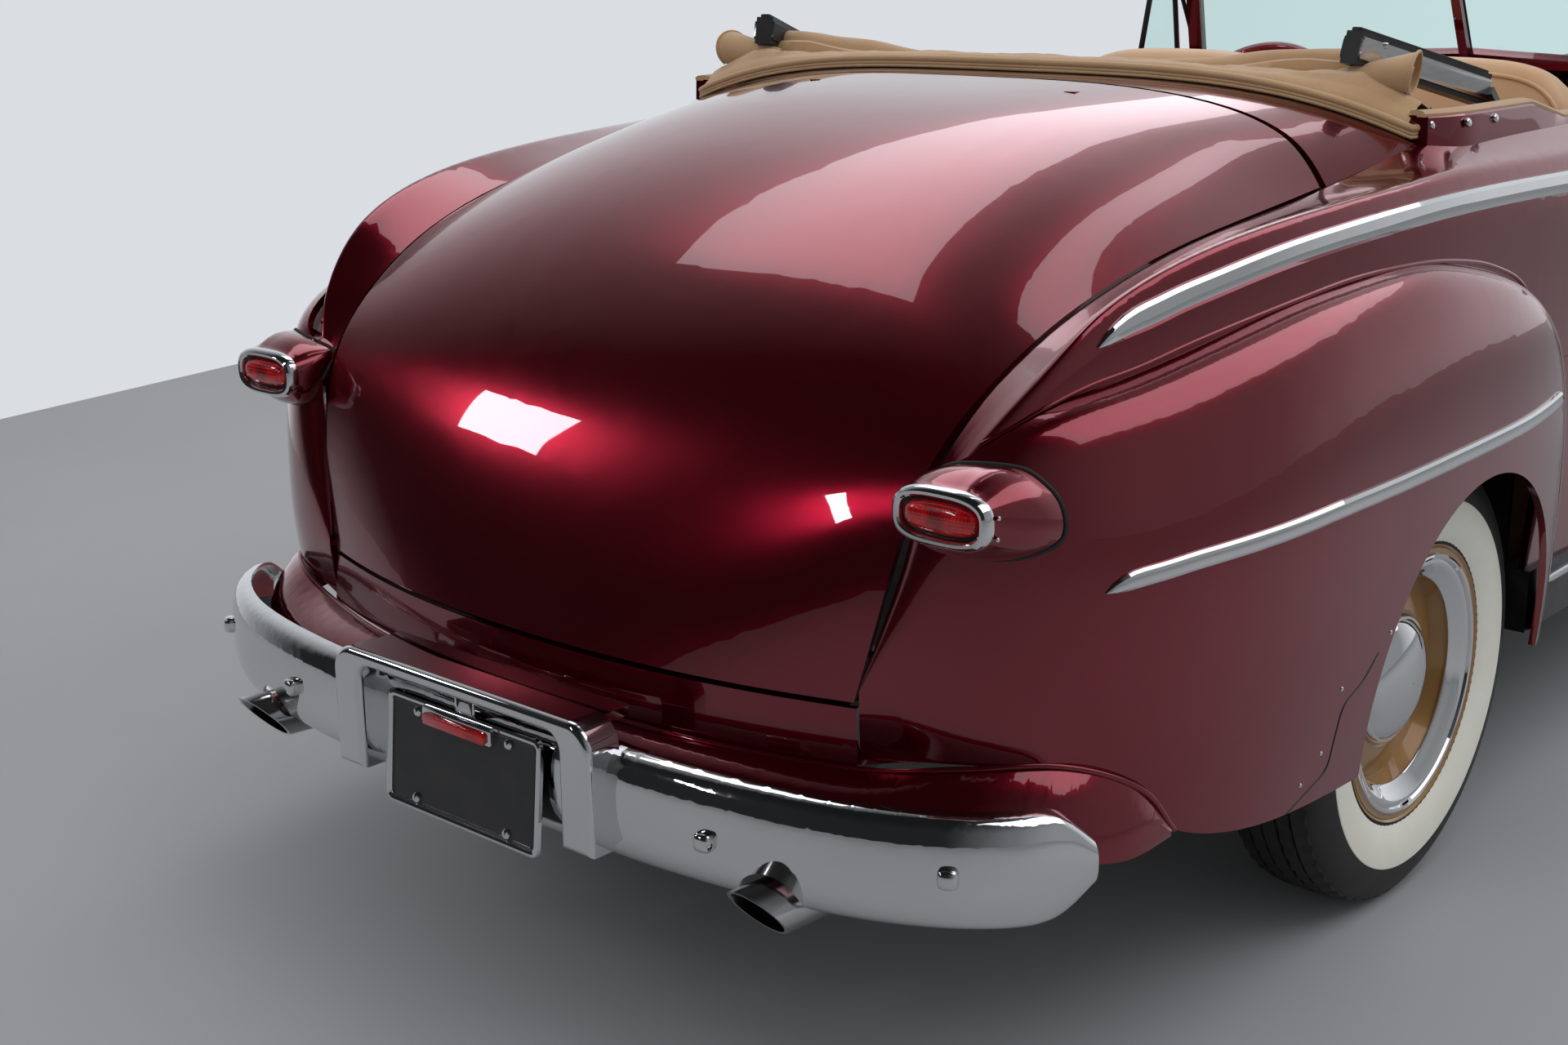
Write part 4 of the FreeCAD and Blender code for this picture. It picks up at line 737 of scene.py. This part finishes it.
# Rail binding, snaps and the irons' strips.
rail_skin = surface("quarter_trims", "quarters")
BINDING = [(0.0150, -0.002), (0.0165, 0.003), (0.0120, 0.0070), (0.0, 0.0082), (-0.0120, 0.0070),
           (-0.0165, 0.003), (-0.0150, -0.002)]
RAIL_TOP = 1.206
RAIL_REAR = 1.276
RAIL_STEP = 0.0133
RAIL_OUT = 0.757
IRON_HALF = 0.0185
for side, word in SIDES.items():
    rail_rows, strip = [], []
    for k in range(49):
        y = RAIL_REAR - RAIL_STEP * k
        x = RAIL_OUT - 0.019 * max(0.0, (y - 1.16) / 0.102) ** 2
        spot, _ = land(rail_skin, sided(side, x, y, 1.7), -UP)
        base = spot.z if spot else 1.150
        proud = clamp((y - 0.80) / 0.14)
        top = max(base + 0.002, RAIL_TOP * proud + (base + 0.002) * (1 - proud))
        rail_rows.append([sided(side, x + dx, y, z) for dx, z in (
            (0.0185, base - 0.014), (0.0165, top - 0.003), (0.0135, top),
            (-0.0135, top), (-0.0165, top - 0.003), (-0.0185, base - 0.014))])
        strip.append(sided(side, x - 0.002, y, top))
    piece("rail_upstand_" + word, knit(rail_rows, ring=True), PAINT, crease=40)
    piece("rail_binding_" + word, knit(swept(strip, UP, lambda t: BINDING), ring=True), CLOTH, crease=40)
    for k, (x, y, z) in enumerate(((0.748, 1.266, 1.192), (0.7735, 1.195, 1.192), (0.7735, 1.095, 1.192))):
        bolt_head("snap_%s_%d" % (word, k), None, sided(side, x, y, z), sided(side, -0.95, 0, -0.30),
                  0.0075, 0.0065, squareness=1.0)
    front, rear = sided(side, 0.690, 0.957, 1.225), sided(side, 0.602, 1.241, 1.301)
    run = (rear - front).normalized()
    over = (UP - run * run.z).normalized()
    outward = run.cross(over) * (IRON_HALF * side)
    bar("iron_rubber_" + word, front + over * 0.027, rear + over * 0.027, 0.020, 0.008, RUBBER, up=over)
    bar("iron_channel_" + word, front + outward, rear + outward, 0.005, 0.034, STEEL, up=over)
    bar("iron_channel_out_" + word, front - outward, rear - outward, 0.005, 0.034, BLACK, up=over)
    bar("cloth_clip_" + word, sided(side, 0.612, 1.205, 1.302), sided(side, 0.640, 1.195, 1.302), 0.014,
        0.010, CHROME)

# Wheels: treaded tyres, white walls, trim rings and caps, each a line of (out, radius) turned.
TYRE_LINE = [(0.066, 0.216), (0.076, 0.234), (0.082, 0.264), (0.083, 0.294), (0.0805, 0.308),
             (0.078, 0.318), (0.0725, 0.330), (0.066, 0.340), (0.0610, 0.3428), (0.0608, 0.3470),
             (0.050, 0.3490), (0.0395, 0.3505), (0.0393, 0.3455), (0.0350, 0.3455), (0.0348, 0.3510),
             (0.0150, 0.3520), (0.0148, 0.3460), (0.0110, 0.3460), (0.0108, 0.3520)]
WALL_LINE = [(0.0668, 0.2185), (0.0768, 0.234), (0.0828, 0.264), (0.0841, 0.284), (0.0838, 0.2900),
             (0.0822, 0.2915), (0.0812, 0.284), (0.0800, 0.264), (0.0745, 0.236), (0.0655, 0.219)]
RING_LINE = [(0.0690, 0.206), (0.0735, 0.2045), (0.0745, 0.2015), (0.0730, 0.1980), (0.0690, 0.1960),
             (0.0700, 0.1925), (0.0695, 0.1885), (0.0655, 0.1835), (0.0600, 0.1775), (0.0545, 0.1715),
             (0.0520, 0.1675), (0.0490, 0.1650), (0.0460, 0.1660), (0.0500, 0.1740), (0.0560, 0.1880)]
CAP_LINE = [(0.012, 0.104), (0.024, 0.1055), (0.034, 0.1040), (0.0385, 0.1000), (0.0390, 0.0960),
            (0.0460, 0.0900), (0.0545, 0.0760), (0.0605, 0.0580), (0.0645, 0.0400), (0.0668, 0.020),
            (0.0674, 0.001), (0.010, 0.001)]
BEAD_LINE = [(0.0665, 0.2135), (0.0705, 0.2160), (0.0725, 0.2190), (0.0700, 0.2205), (0.0660, 0.2190)]
TREAD = TYRE_LINE + [(-x, r) for x, r in reversed(TYRE_LINE)]
SHOULDER_CUT = 0.0050
RIB_CUT = 0.0035
for end, (x, y) in (("front", FRONT_HUB), ("rear", REAR_HUB)):
    for side, word in SIDES.items():
        label = "%s_%s" % (end, word)
        rider = label + "_wheel"
        centre, axis = (x * side, y, HUB_HEIGHT), (side, 0, 0)
        rows = lathe(TREAD, centre, axis, 180)
        for k, row in enumerate(rows):
            for j, (offset, radius) in enumerate(TREAD):
                shoulder = 0.040 < abs(offset) < 0.064 and radius > 0.346
                rib = 0.0148 < abs(offset) < 0.036 and radius > 0.349
                if (shoulder and k % 3 == 0) or (rib and k % 3 == 1):
                    hub = Vector((row[j].x, y, HUB_HEIGHT))
                    row[j] = hub + (row[j] - hub) * (1 - (SHOULDER_CUT if shoulder else RIB_CUT) / radius)
        tyre = piece("treaded_tyre_" + label, knit(rows, loop=True), RUBBER, rider, 30)
        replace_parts(tyre, "tyre_" + label)
        for part, line, material in (("white_wall_", WALL_LINE, WHITEWALL),
                                     ("trim_ring_", RING_LINE, CHROME),
                                     ("hub_cap_", CAP_LINE, CHROME),
                                     ("rim_bead_", BEAD_LINE, CARAMEL)):
            rows = lathe(line, centre, axis, 96)
            piece(part + label, knit(rows, ring=True, loop=True), material, rider, 34)

# Tail lamps: a heavy bezel, an inner lip made black as painted shade, a domed lens, and a pod on a gasket.
BEZEL_OVALS = [(0.1360, 0.0690, -0.004), (0.1420, 0.0740, 0.000), (0.1430, 0.0750, 0.005),
               (0.1415, 0.0735, 0.0095), (0.1370, 0.0690, 0.0140), (0.1300, 0.0620, 0.0165),
               (0.1230, 0.0550, 0.0162), (0.1175, 0.0500, 0.0135), (0.1150, 0.0475, 0.0090),
               (0.1145, 0.0470, 0.0030), (0.1145, 0.0470, -0.004)]
LIP_OVALS = [(0.1143, 0.0468, -0.001), (0.1143, 0.0468, 0.0060), (0.1110, 0.0440, 0.0078),
             (0.1060, 0.0395, 0.0060), (0.1050, 0.0385, -0.001)]
LENS_OVALS = [(0.1056, 0.0390, -0.001), (0.1056, 0.0390, 0.0070), (0.1030, 0.0365, 0.0115),
              (0.0960, 0.0305, 0.0152), (0.0820, 0.0220, 0.0176), (0.0500, 0.0110, 0.0187),
              (0.0100, 0.0020, 0.0190)]
GASKET = [(0.604, 2.290, 0.812), (0.606, 2.276, 0.836), (0.630, 2.287, 0.850), (0.658, 2.290, 0.857),
          (0.692, 2.280, 0.859), (0.722, 2.264, 0.855), (0.743, 2.252, 0.839), (0.759, 2.242, 0.818),
          (0.767, 2.240, 0.793), (0.766, 2.247, 0.771), (0.750, 2.266, 0.758), (0.724, 2.288, 0.750),
          (0.691, 2.308, 0.749), (0.653, 2.322, 0.751), (0.622, 2.322, 0.760), (0.607, 2.312, 0.782)]
HEAD_BEZEL = [(-0.004, 0.0990), (0.004, 0.1005), (0.012, 0.0990), (0.0185, 0.0940), (0.0215, 0.0875),
              (0.0205, 0.0815), (0.0160, 0.0785), (0.0080, 0.0775), (-0.004, 0.0775), (-0.004, 0.0990)]
REFLECTOR = [(0.006, 0.0775), (-0.006, 0.0740), (-0.022, 0.0600), (-0.036, 0.0380), (-0.042, 0.0140),
             (-0.043, 0.0005), (-0.046, 0.0005), (-0.046, 0.0450), (-0.028, 0.0680), (-0.004, 0.0785)]
HEAD_LENS = [(-0.001, 0.0005), (-0.001, 0.0772), (0.0100, 0.0772), (0.0140, 0.0700), (0.0175, 0.0500),
             (0.0195, 0.0250), (0.0200, 0.0005)]
POD_MIDDLE = (0.684, 2.28, 0.803)
POD_SWELL = 0.0075
POD_RIDGE = 0.0035


def sideways(point, middle):
    """The way from the middle to a point, seen from behind the car."""
    return Vector((point.x - middle.x, point.z - middle.z)).normalized()


for side, word in SIDES.items():
    centre = sided(side, *TAIL_LAMP)
    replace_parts(ovals("tail_bezel_" + word, centre, BEZEL_OVALS, CHROME), "lamp_bezels")
    # the lip is black as painted shade in the recess between bezel and lens
    ovals("tail_lip_painted_shade_" + word, centre, LIP_OVALS, BLACK)
    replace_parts(ovals("tail_lens_" + word, centre, LENS_OVALS, RED_LENS, False), "tail_lamp_lenses")
    middle = sided(side, *POD_MIDDLE)
    gasket_line = loop_flow(mirror(GASKET, side), 120)
    mouth_ring, nearest = [], []
    for k in range(72):
        a, b = rounded(math.tau * k / 72, LAMP_SQUARENESS)
        rim = centre + Vector((0.0685 * a, 0.0, 0.0355 * b))
        way = sideways(rim, middle)
        mouth_ring.append(rim)
        nearest.append(max(gasket_line, key=lambda p: way.dot(sideways(p, middle))))
    foot_ring = [(nearest[k - 1] + nearest[k] * 2 + nearest[(k + 1) % 72]) / 4 for k in range(72)]
    pod_rows = [[rim + REARWARD * 0.006 for rim in mouth_ring]]
    for t in (0.0, 0.12, 0.3, 0.5, 0.7, 0.86, 1.0):
        row = []
        for rim, foot in zip(mouth_ring, foot_ring):
            spot = rim.lerp(foot, t)
            away = Vector((spot.x - middle.x, 0, spot.z - middle.z)).normalized()
            ridge = POD_RIDGE * math.exp(-((away.x * side - 0.42) / 0.10) ** 2) * (away.z > 0)
            row.append(spot + away * (POD_SWELL * math.sin(math.pi * t)
                                      + ridge * math.sin(math.pi * min(1, t + 0.1))))
        pod_rows.append(row)
    pod_rows.append([foot - REARWARD * 0.030 for foot in foot_ring])
    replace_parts(piece("tail_pod_" + word, knit(pod_rows, ring=True), PAINT, crease=30), "tail_lamp_pods")
    bead("pod_gasket_" + word, foot_ring, 0.0034, RUBBER, REARWARD, True, 8)
    head = sided(side, *HEAD_LAMP)
    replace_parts(turned("head_bezel_" + word, HEAD_BEZEL, head, FORWARD, CHROME, 72), "lamp_bezels")
    turned("head_reflector_" + word, REFLECTOR, head, FORWARD, CHROME, 72)
    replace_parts(turned("head_lens_" + word, HEAD_LENS, head, FORWARD, FLUTED, 72), "head_lamp_lenses")
    for k, (dx, dz) in enumerate(((0.0735, 0.010), (0.0725, -0.016))):
        bolt_head("pod_screw_%s_%d" % (word, k), None,
                  sided(side, TAIL_LAMP[0] + dx, 2.347, TAIL_LAMP[2] + dz), (-side, 0, 0), 0.0030, 0.0020,
                  squareness=1.0)

# Number plate, hung a little out at its foot, with its lamp.
tilt = Vector((0, 0.0145, -0.162)).normalized()
plate_out = Vector((0, -tilt.z, tilt.y))
plate_top = Vector((0, 2.5415, 0.4475))


def on_plate(x, down, out):
    """A point by its place across and down the plate's face, and out from it."""
    return plate_top + Vector((x, 0, 0)) + tilt * down + plate_out * out


def plate_ring(half, low, high, radius, out):
    """A rounded rectangle on the plate, from low to high down its face."""
    ring = []
    for cx, cd, start in ((half - radius, low + radius, 270), (half - radius, high - radius, 0),
                          (-half + radius, high - radius, 90), (-half + radius, low + radius, 180)):
        for k in range(7):
            a = math.radians(start + 15 * k)
            ring.append(on_plate(cx + radius * math.cos(a), cd + radius * math.sin(a), out))
    return ring


def plate_shape(sizes, loop):
    return knit([plate_ring(*size) for size in sizes], ring=True, loop=loop)


PLATE_PANEL = [(0.158, 0.002, 0.163, 0.012, 0.0), (0.158, 0.002, 0.163, 0.012, 0.0022)]
PLATE_FRAME = [(0.1500, 0.010, 0.1550, 0.006, 0.0015), (0.1520, 0.008, 0.1570, 0.008, 0.0050),
               (0.1560, 0.004, 0.1610, 0.011, 0.0062), (0.1600, 0.000, 0.1650, 0.014, 0.0050),
               (0.1615, -0.0015, 0.1665, 0.015, 0.0005), (0.1600, 0.000, 0.1650, 0.014, -0.0020),
               (0.1500, 0.010, 0.1550, 0.006, -0.0010)]
PLATE_EDGE = [(0.1460, 0.014, 0.1510, 0.006, 0.0020), (0.1475, 0.0125, 0.1525, 0.007, 0.0030),
              (0.1490, 0.011, 0.1540, 0.008, 0.0020)]
PLATE_BOLT = [(0, 0.001), (0, 0.0075), (0.003, 0.0075), (0.0045, 0.0060), (0.0055, 0.001)]
plate = [piece("plate_panel", plate_shape(PLATE_PANEL, False), BLACK, crease=30),
         piece("plate_frame", plate_shape(PLATE_FRAME, True), CHROME, crease=30),
         piece("plate_panel_edge", plate_shape(PLATE_EDGE, True), BLACK, crease=30),
         bar("plate_hanger", (0, 2.5395, 0.478), on_plate(0, 0.05, -0.003), 0.040, 0.004, CHROME,
             up=REARWARD),
         bar("plate_cross_bar", on_plate(-0.125, 0.018, -0.0035), on_plate(0.125, 0.018, -0.0035), 0.020,
             0.004, CHROME, up=REARWARD),
         bar("plate_lamp_body", on_plate(-0.066, 0.018, 0.006), on_plate(0.078, 0.018, 0.006), 0.026, 0.010,
             CHROME, up=REARWARD),
         bar("plate_lamp_lens", on_plate(-0.060, 0.021, 0.0125), on_plate(0.072, 0.021, 0.0125), 0.017,
             0.010, RED_LENS, up=REARWARD, soft=0.45)]
for k, (x, down) in enumerate(((0.095, 0.147), (-0.095, 0.147), (0.095, 0.020), (-0.095, 0.020))):
    plate.append(turned("plate_bolt_%d" % k, PLATE_BOLT, on_plate(x, down, 0.0015), plate_out, CHROME, 24))
for one in plate:
    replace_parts(one, "licence_plate")

# Welts, joint lines and arch lips.
SEAM = [(0.844, 0.940, 0.800), (0.843, 1.010, 0.868), (0.841, 1.097, 0.944), (0.837, 1.202, 0.982),
        (0.833, 1.309, 1.002), (0.827, 1.435, 1.013), (0.814, 1.606, 1.013), (0.799, 1.753, 0.999),
        (0.773, 1.948, 0.973), (0.751, 2.060, 0.951), (0.731, 2.133, 0.938), (0.714, 2.178, 0.924),
        (0.694, 2.217, 0.905), (0.655, 2.258, 0.874)]
PAN_WELT = [(0, 2.432, 0.452), (0.300, 2.420, 0.452), (0.541, 2.356, 0.452), (0.674, 2.318, 0.475),
            (0.775, 2.236, 0.480), (0.832, 2.150, 0.438), (0.852, 2.100, 0.372)]
JOINT_LINE = [(0.9115, 1.671, 0.508), (0.9099, 1.709, 0.4755), (0.9069, 1.753, 0.4529),
              (0.9028, 1.768, 0.410), (0.8991, 1.780, 0.3659), (0.8939, 1.822, 0.3443),
              (0.8882, 1.866, 0.3252)]
LIP_RADIUS = 0.0050
LIP_INSET = 0.0052
rear_skin = surface("rear_fenders")
front_skin = surface("front_fenders")
bead("pan_welt", flow(mirror(PAN_WELT[:0:-1], -1) + PAN_WELT, 140), 0.0042, PAINT)
for side, word in SIDES.items():
    outward = Vector((side, 0, 0))
    bead("fender_welt_" + word, flow(mirror(SEAM, side), 100), 0.0034, PAINT, outward, False, 8)
    spots = []
    for point in flow(mirror(JOINT_LINE, side), 36):
        spot, _ = land(rear_skin, point + outward * 0.2, -outward)
        if spot is not None:
            spots.append(spot)
    bead("fender_joint_" + word, spots, 0.0011, BLACK, outward, False, 6)
    for k, (y, z) in enumerate(((1.640, 0.530), (1.765, 0.480), (1.800, 0.395), (1.842, 0.360))):
        bolt_head("fender_screw_%s_%d" % (word, k), rear_skin, (1.2 * side, y, z), -outward, 0.0032, 0.0016,
                  1.0)
    for label, tree, y, z, radius in (("rear", rear_skin, 1.334, 0.348, 0.3475),
                                      ("front", front_skin, FRONT_HUB[1], HUB_HEIGHT, 0.395)):
        path = []
        for k in range(61):
            a = math.pi * k / 60
            start = sided(side, 1.2, y + (radius + 0.003) * math.cos(a), z + (radius + 0.003) * math.sin(a))
            spot, _ = land(tree, start, -outward)
            if spot is not None and abs(spot.x) > 0.78:
                path.append(spot - outward * LIP_INSET)
        bead("arch_lip_%s_%s" % (label, word), path, LIP_RADIUS, PAINT, outward, False, 8)

# Windshield gaskets, handles and door cards.
CARD_HEIGHTS = (0.49, 0.60, 0.74, 0.88, 1.00, 1.10)
CARD_FRONT = -0.43
CARD_STEP = 0.023
CARD_LIFT = 0.001
CARD_THICK = 0.006
CARD_WAVES = 0.004
HANDLE_REACH = 0.034


def door_card(name, tree, side, body):
    """A thin padded panel with upright flutes, laid over the door's inner face."""
    inward = Vector((-side, 0, 0))
    front, back = [], []
    for i in range(43):
        y = CARD_FRONT + CARD_STEP * i
        flute = CARD_WAVES * (0.5 + 0.5 * math.cos(y * 70))
        line, under = [], []
        for z in CARD_HEIGHTS:
            point = Vector((0.55 * side, y, z))
            spot, _ = land(tree, point + inward * 0.6, -inward)
            spot = point if spot is None else spot
            line.append(spot + inward * (CARD_LIFT + CARD_THICK + flute))
            under.append(spot + inward * CARD_LIFT)
        front.append(line)
        back.append(under)
    wide = len(CARD_HEIGHTS)
    corners, faces = knit(front)
    more, under_faces = knit(back)
    count = len(corners)
    faces += [tuple(reversed([k + count for k in face])) for face in under_faces]
    rim = ([(k, k + 1) for k in range(wide - 1)]
           + [(count - wide + k + 1, count - wide + k) for k in range(wide - 1)]
           + [(k * wide + wide - 1, (k + 1) * wide + wide - 1) for k in range(len(front) - 1)]
           + [((k + 1) * wide, k * wide) for k in range(len(front) - 1)])
    faces += [(b, a, a + count, b + count) for a, b in rim]
    return piece(name, (corners + more, faces), LEATHER, body, 40)


for side, word in SIDES.items():
    body = word + "_door"
    foot = sided(side, 0.008, -0.602, 1.192)
    along = sided(side, 0.672, 0.082, -0.026)
    rise = Vector((0, 0.240, 0.400))
    loop = []
    for (s0, h0), (s1, h1) in (((0, 0), (1, 0)), ((1, 0), (1, 1)), ((1, 1), (0, 1)), ((0, 1), (0, 0))):
        for k in range(12):
            t = k / 12
            loop.append(foot + along * (s0 + (s1 - s0) * t) + rise * (h0 + (h1 - h0) * t))
    bead("glass_gasket_" + word, loop, 0.0055, RUBBER, REARWARD, True, 8)
    reach = Vector((HANDLE_REACH * side, 0, 0))
    posts = []
    for y in (0.400, 0.530):
        spot, _ = land(door_skins[side], sided(side, 1.2, y, 0.985), Vector((-side, 0, 0)))
        posts.append(spot)
        bar("handle_post_%s_%d" % (word, round(y * 100)), spot - Vector((0.004 * side, 0, 0)), spot + reach,
            0.018, 0.018, CHROME, body, soft=0.2)
    bar("door_handle_" + word, posts[0] + Vector((HANDLE_REACH * side, -0.035, 0)),
        posts[1] + Vector((HANDLE_REACH * side, 0.022, 0)), 0.016, 0.020, CHROME, body, soft=0.45)
    door_card("door_card_" + word, door_skins[side], side, body)

# Vent windows: four thin bars round a pane.
VENT_BARS = [((0.712, -0.468, 1.177), (0.634, -0.272, 1.552), 0.010, 0.014, (0, 1, 0)),
             ((0.712, -0.285, 1.177), (0.634, -0.256, 1.552), 0.010, 0.014, (0, 1, 0)),
             ((0.712, -0.476, 1.1783), (0.712, -0.278, 1.1783), 0.012, 0.012, (1, 0, 0)),
             ((0.634, -0.279, 1.549), (0.634, -0.249, 1.549), 0.010, 0.012, (1, 0, 0))]
VENT_PANE = [(0.712, -0.468, 1.177), (0.712, -0.285, 1.177), (0.634, -0.256, 1.552), (0.634, -0.272, 1.552)]
for side, word in SIDES.items():
    body = word + "_door"
    vent = [bar("vent_bar_%s_%d" % (word, k), *mirror((first, last), side), wide, high, BLACK, body, up)
            for k, (first, last, wide, high, up) in enumerate(VENT_BARS)]
    panes = [[Vector(corner) + Vector((offset * side, 0, 0)) for corner in mirror(VENT_PANE, side)]
             for offset in (-0.002, 0.002)]
    vent.append(piece("vent_glass_" + word, knit(panes, ring=True), GLASS, body))
    for one in vent:
        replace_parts(one, "vent_window_" + word)

# Sill strips, hood spear, dashboard and horn ring.
sill_skin = surface("floor")
for side, word in SIDES.items():
    moulding("sill_strip_" + word, sill_skin, [(0.9 * side, y, 0.407) for y in (-0.485, 0.2, 0.9)],
             (side, 0, 0), 0.008, 0.005, "car_body", (0.02, 0.02), 30)
SPEAR_LINE = [(0, -0.80, 1.06), (0, -1.3, 1.06), (0, -1.8, 1.02), (0, -2.20, 0.95)]
moulding("hood_spear", hood_skin, SPEAR_LINE, UP, 0.011, 0.010, "hood", (0.05, 0.10), 60)
dash_skin = surface("dashboard")
DASH_Y = -0.1
DASH_Z = 1.075
for k, (x, radius) in enumerate(((0.380, 0.056), (0.255, 0.034), (0.505, 0.034), (-0.380, 0.050))):
    spot, up = land(dash_skin, Vector((x, DASH_Y, DASH_Z)), FORWARD)
    turned("dial_rim_%d" % k, [(-0.002, radius), (0.004, radius + 0.005), (0.008, radius + 0.003),
                               (0.007, radius - 0.002), (-0.002, radius - 0.003)], spot, up, CHROME, 48)
    turned("dial_face_%d" % k, [(-0.001, 0.001), (-0.001, radius - 0.002), (0.003, radius - 0.002),
                                (0.003, 0.001)], spot, up, DIAL, 48)
for k in range(9):
    spot, _ = land(dash_skin, Vector((-0.12 + 0.03 * k, DASH_Y, DASH_Z)), FORWARD)
    bar("speaker_bar_%d" % k, spot + Vector((0, 0.002, -0.040)), spot + Vector((0, 0.002, 0.040)), 0.008,
        0.006, CHROME, up=REARWARD)
column_axis = Vector((0, 0.8499, 0.5269))
steering_hub = Vector((0.380, -0.266, 1.039))
ring = [row[0] for row in lathe([(0.004, 0.128)], steering_hub, column_axis, 72)]
bead("horn_ring", ring, 0.0045, CHROME, column_axis, True, 8, "steering_wheel")
turned("horn_button", [(-0.01, 0.001), (-0.01, 0.034), (0.012, 0.036), (0.020, 0.031), (0.025, 0.018),
                       (0.026, 0.001)], steering_hub, column_axis, CHROME, 48, "steering_wheel")

# Camera, at the photograph's angle and focal length.
YAW, PITCH, ROLL = (math.radians(a) for a in (41.35, 15.79, -0.39))
CAMERA_PLACE = (-2.0575, 4.2148, 1.455)
FOCAL_PIXELS = 2497.6
FRAME_PIXELS = 1920
SENSOR_WIDTH = 36.0
ahead = Vector((math.sin(YAW) * math.cos(PITCH), -math.cos(YAW) * math.cos(PITCH), -math.sin(PITCH)))
level = ahead.cross(UP).normalized()
above = level.cross(ahead)
across = level * math.cos(ROLL) + above * math.sin(ROLL)
upright = above * math.cos(ROLL) - level * math.sin(ROLL)
camera = bpy.data.objects.new("camera", bpy.data.cameras.new("camera"))
camera.data.sensor_fit = "HORIZONTAL"
camera.data.sensor_width = SENSOR_WIDTH
camera.data.lens = FOCAL_PIXELS / FRAME_PIXELS * SENSOR_WIDTH
camera.matrix_world = (Matrix.Translation(CAMERA_PLACE)
                       @ Matrix((across, upright, -ahead)).transposed().to_4x4())
scene.collection.objects.link(camera)
scene.camera = camera


# Lamps: three ceiling panels and two windows.
def lamp(name, place, target, wide, high, power, lean=(0, 1, 0)):
    """A soft lamp that faces its target, its height along lean."""
    light = bpy.data.lights.new(name, "AREA")
    light.shape = "RECTANGLE"
    light.size, light.size_y, light.energy = wide, high, power
    light.color = (1.0, 0.97, 1.03)
    made = bpy.data.objects.new(name, light)
    back = (Vector(place) - Vector(target)).normalized()
    across = Vector(lean).cross(back).normalized()
    made.matrix_world = (Matrix.Translation(place)
                         @ Matrix((across, back.cross(across), back)).transposed().to_4x4())
    scene.collection.objects.link(made)


CEILING = 3.6
for name, x, y, wide, long, power in (("overhead_left", 1.72, -1.2, 1.46, 6.2, 44),
                                      ("overhead_right", -2.7, 0.0, 2.8, 5.6, 66),
                                      ("overhead_strip", 0.08, 0.2, 0.32, 2.8, 4)):
    lamp(name, (x, y, CEILING), (x, y, 0), wide, long, power)
lamp("window_a", (3.43, 4.43, 2.82), (0.13, 2.32, 0.8), 0.47, 0.61, 11, (-0.20, -0.53, 0.82))
lamp("window_b", (1.25, 5.18, 2.29), (-0.49, 2.31, 0.78), 0.088, 0.70, 5.5, (0.387, -0.594, 0.705))

# World: pale walls to the camera, and the same walls as the paint and plating show them.
world = bpy.data.worlds.new("studio")
world.use_nodes = True
scene.world = world
sky = world.node_tree
CAMERA_RAY, GLOSSY_RAY, TRANSMISSION_RAY = 0, 3, 6
wx, wy, wz = Wire(sky).node("TexCoord", out=0).parts()
far_wall = (wx * 0.55 - wy * 0.84).between(0.15, 0.85)
near_side = (wx * -0.85 - wy * 0.50).between(0.0, 0.9)
brightness = (far_wall * 0.74 + near_side * 0.28 + 0.018) * (1 - wz.between(0.5, 0.9) * 0.4)
reflected = brightness.colours(rgb(0.0, 0.0, 0.0), rgb(0.96, 1.0, 1.04))
to_camera, glossy, through = (Wire(sky).node("LightPath", out=k)
                              for k in (CAMERA_RAY, GLOSSY_RAY, TRANSMISSION_RAY))
seen = (to_camera + glossy + through).between(0.0, 1.0)
walls = to_camera.colours(seen.colours(rgb(0.56, 0.57, 0.58), reflected), rgb(0.70, 0.73, 0.77))
sky.links.new(walls.socket, sky.nodes["Background"].inputs["Color"])

floor_mesh = bpy.data.meshes.new("studio_floor")
floor_mesh.from_pydata([(-25, -25, 0), (8.73, -25, 0), (-0.17, 25, 0), (-25, 25, 0)], [], [(0, 1, 2, 3)])
floor = bpy.data.objects.new("studio_floor", floor_mesh)
scene.collection.objects.link(floor)
floor_mesh.materials.append(finish("pale_floor", {"Roughness": 0.55}, vary_floor))
scene.view_settings.view_transform = "Standard"
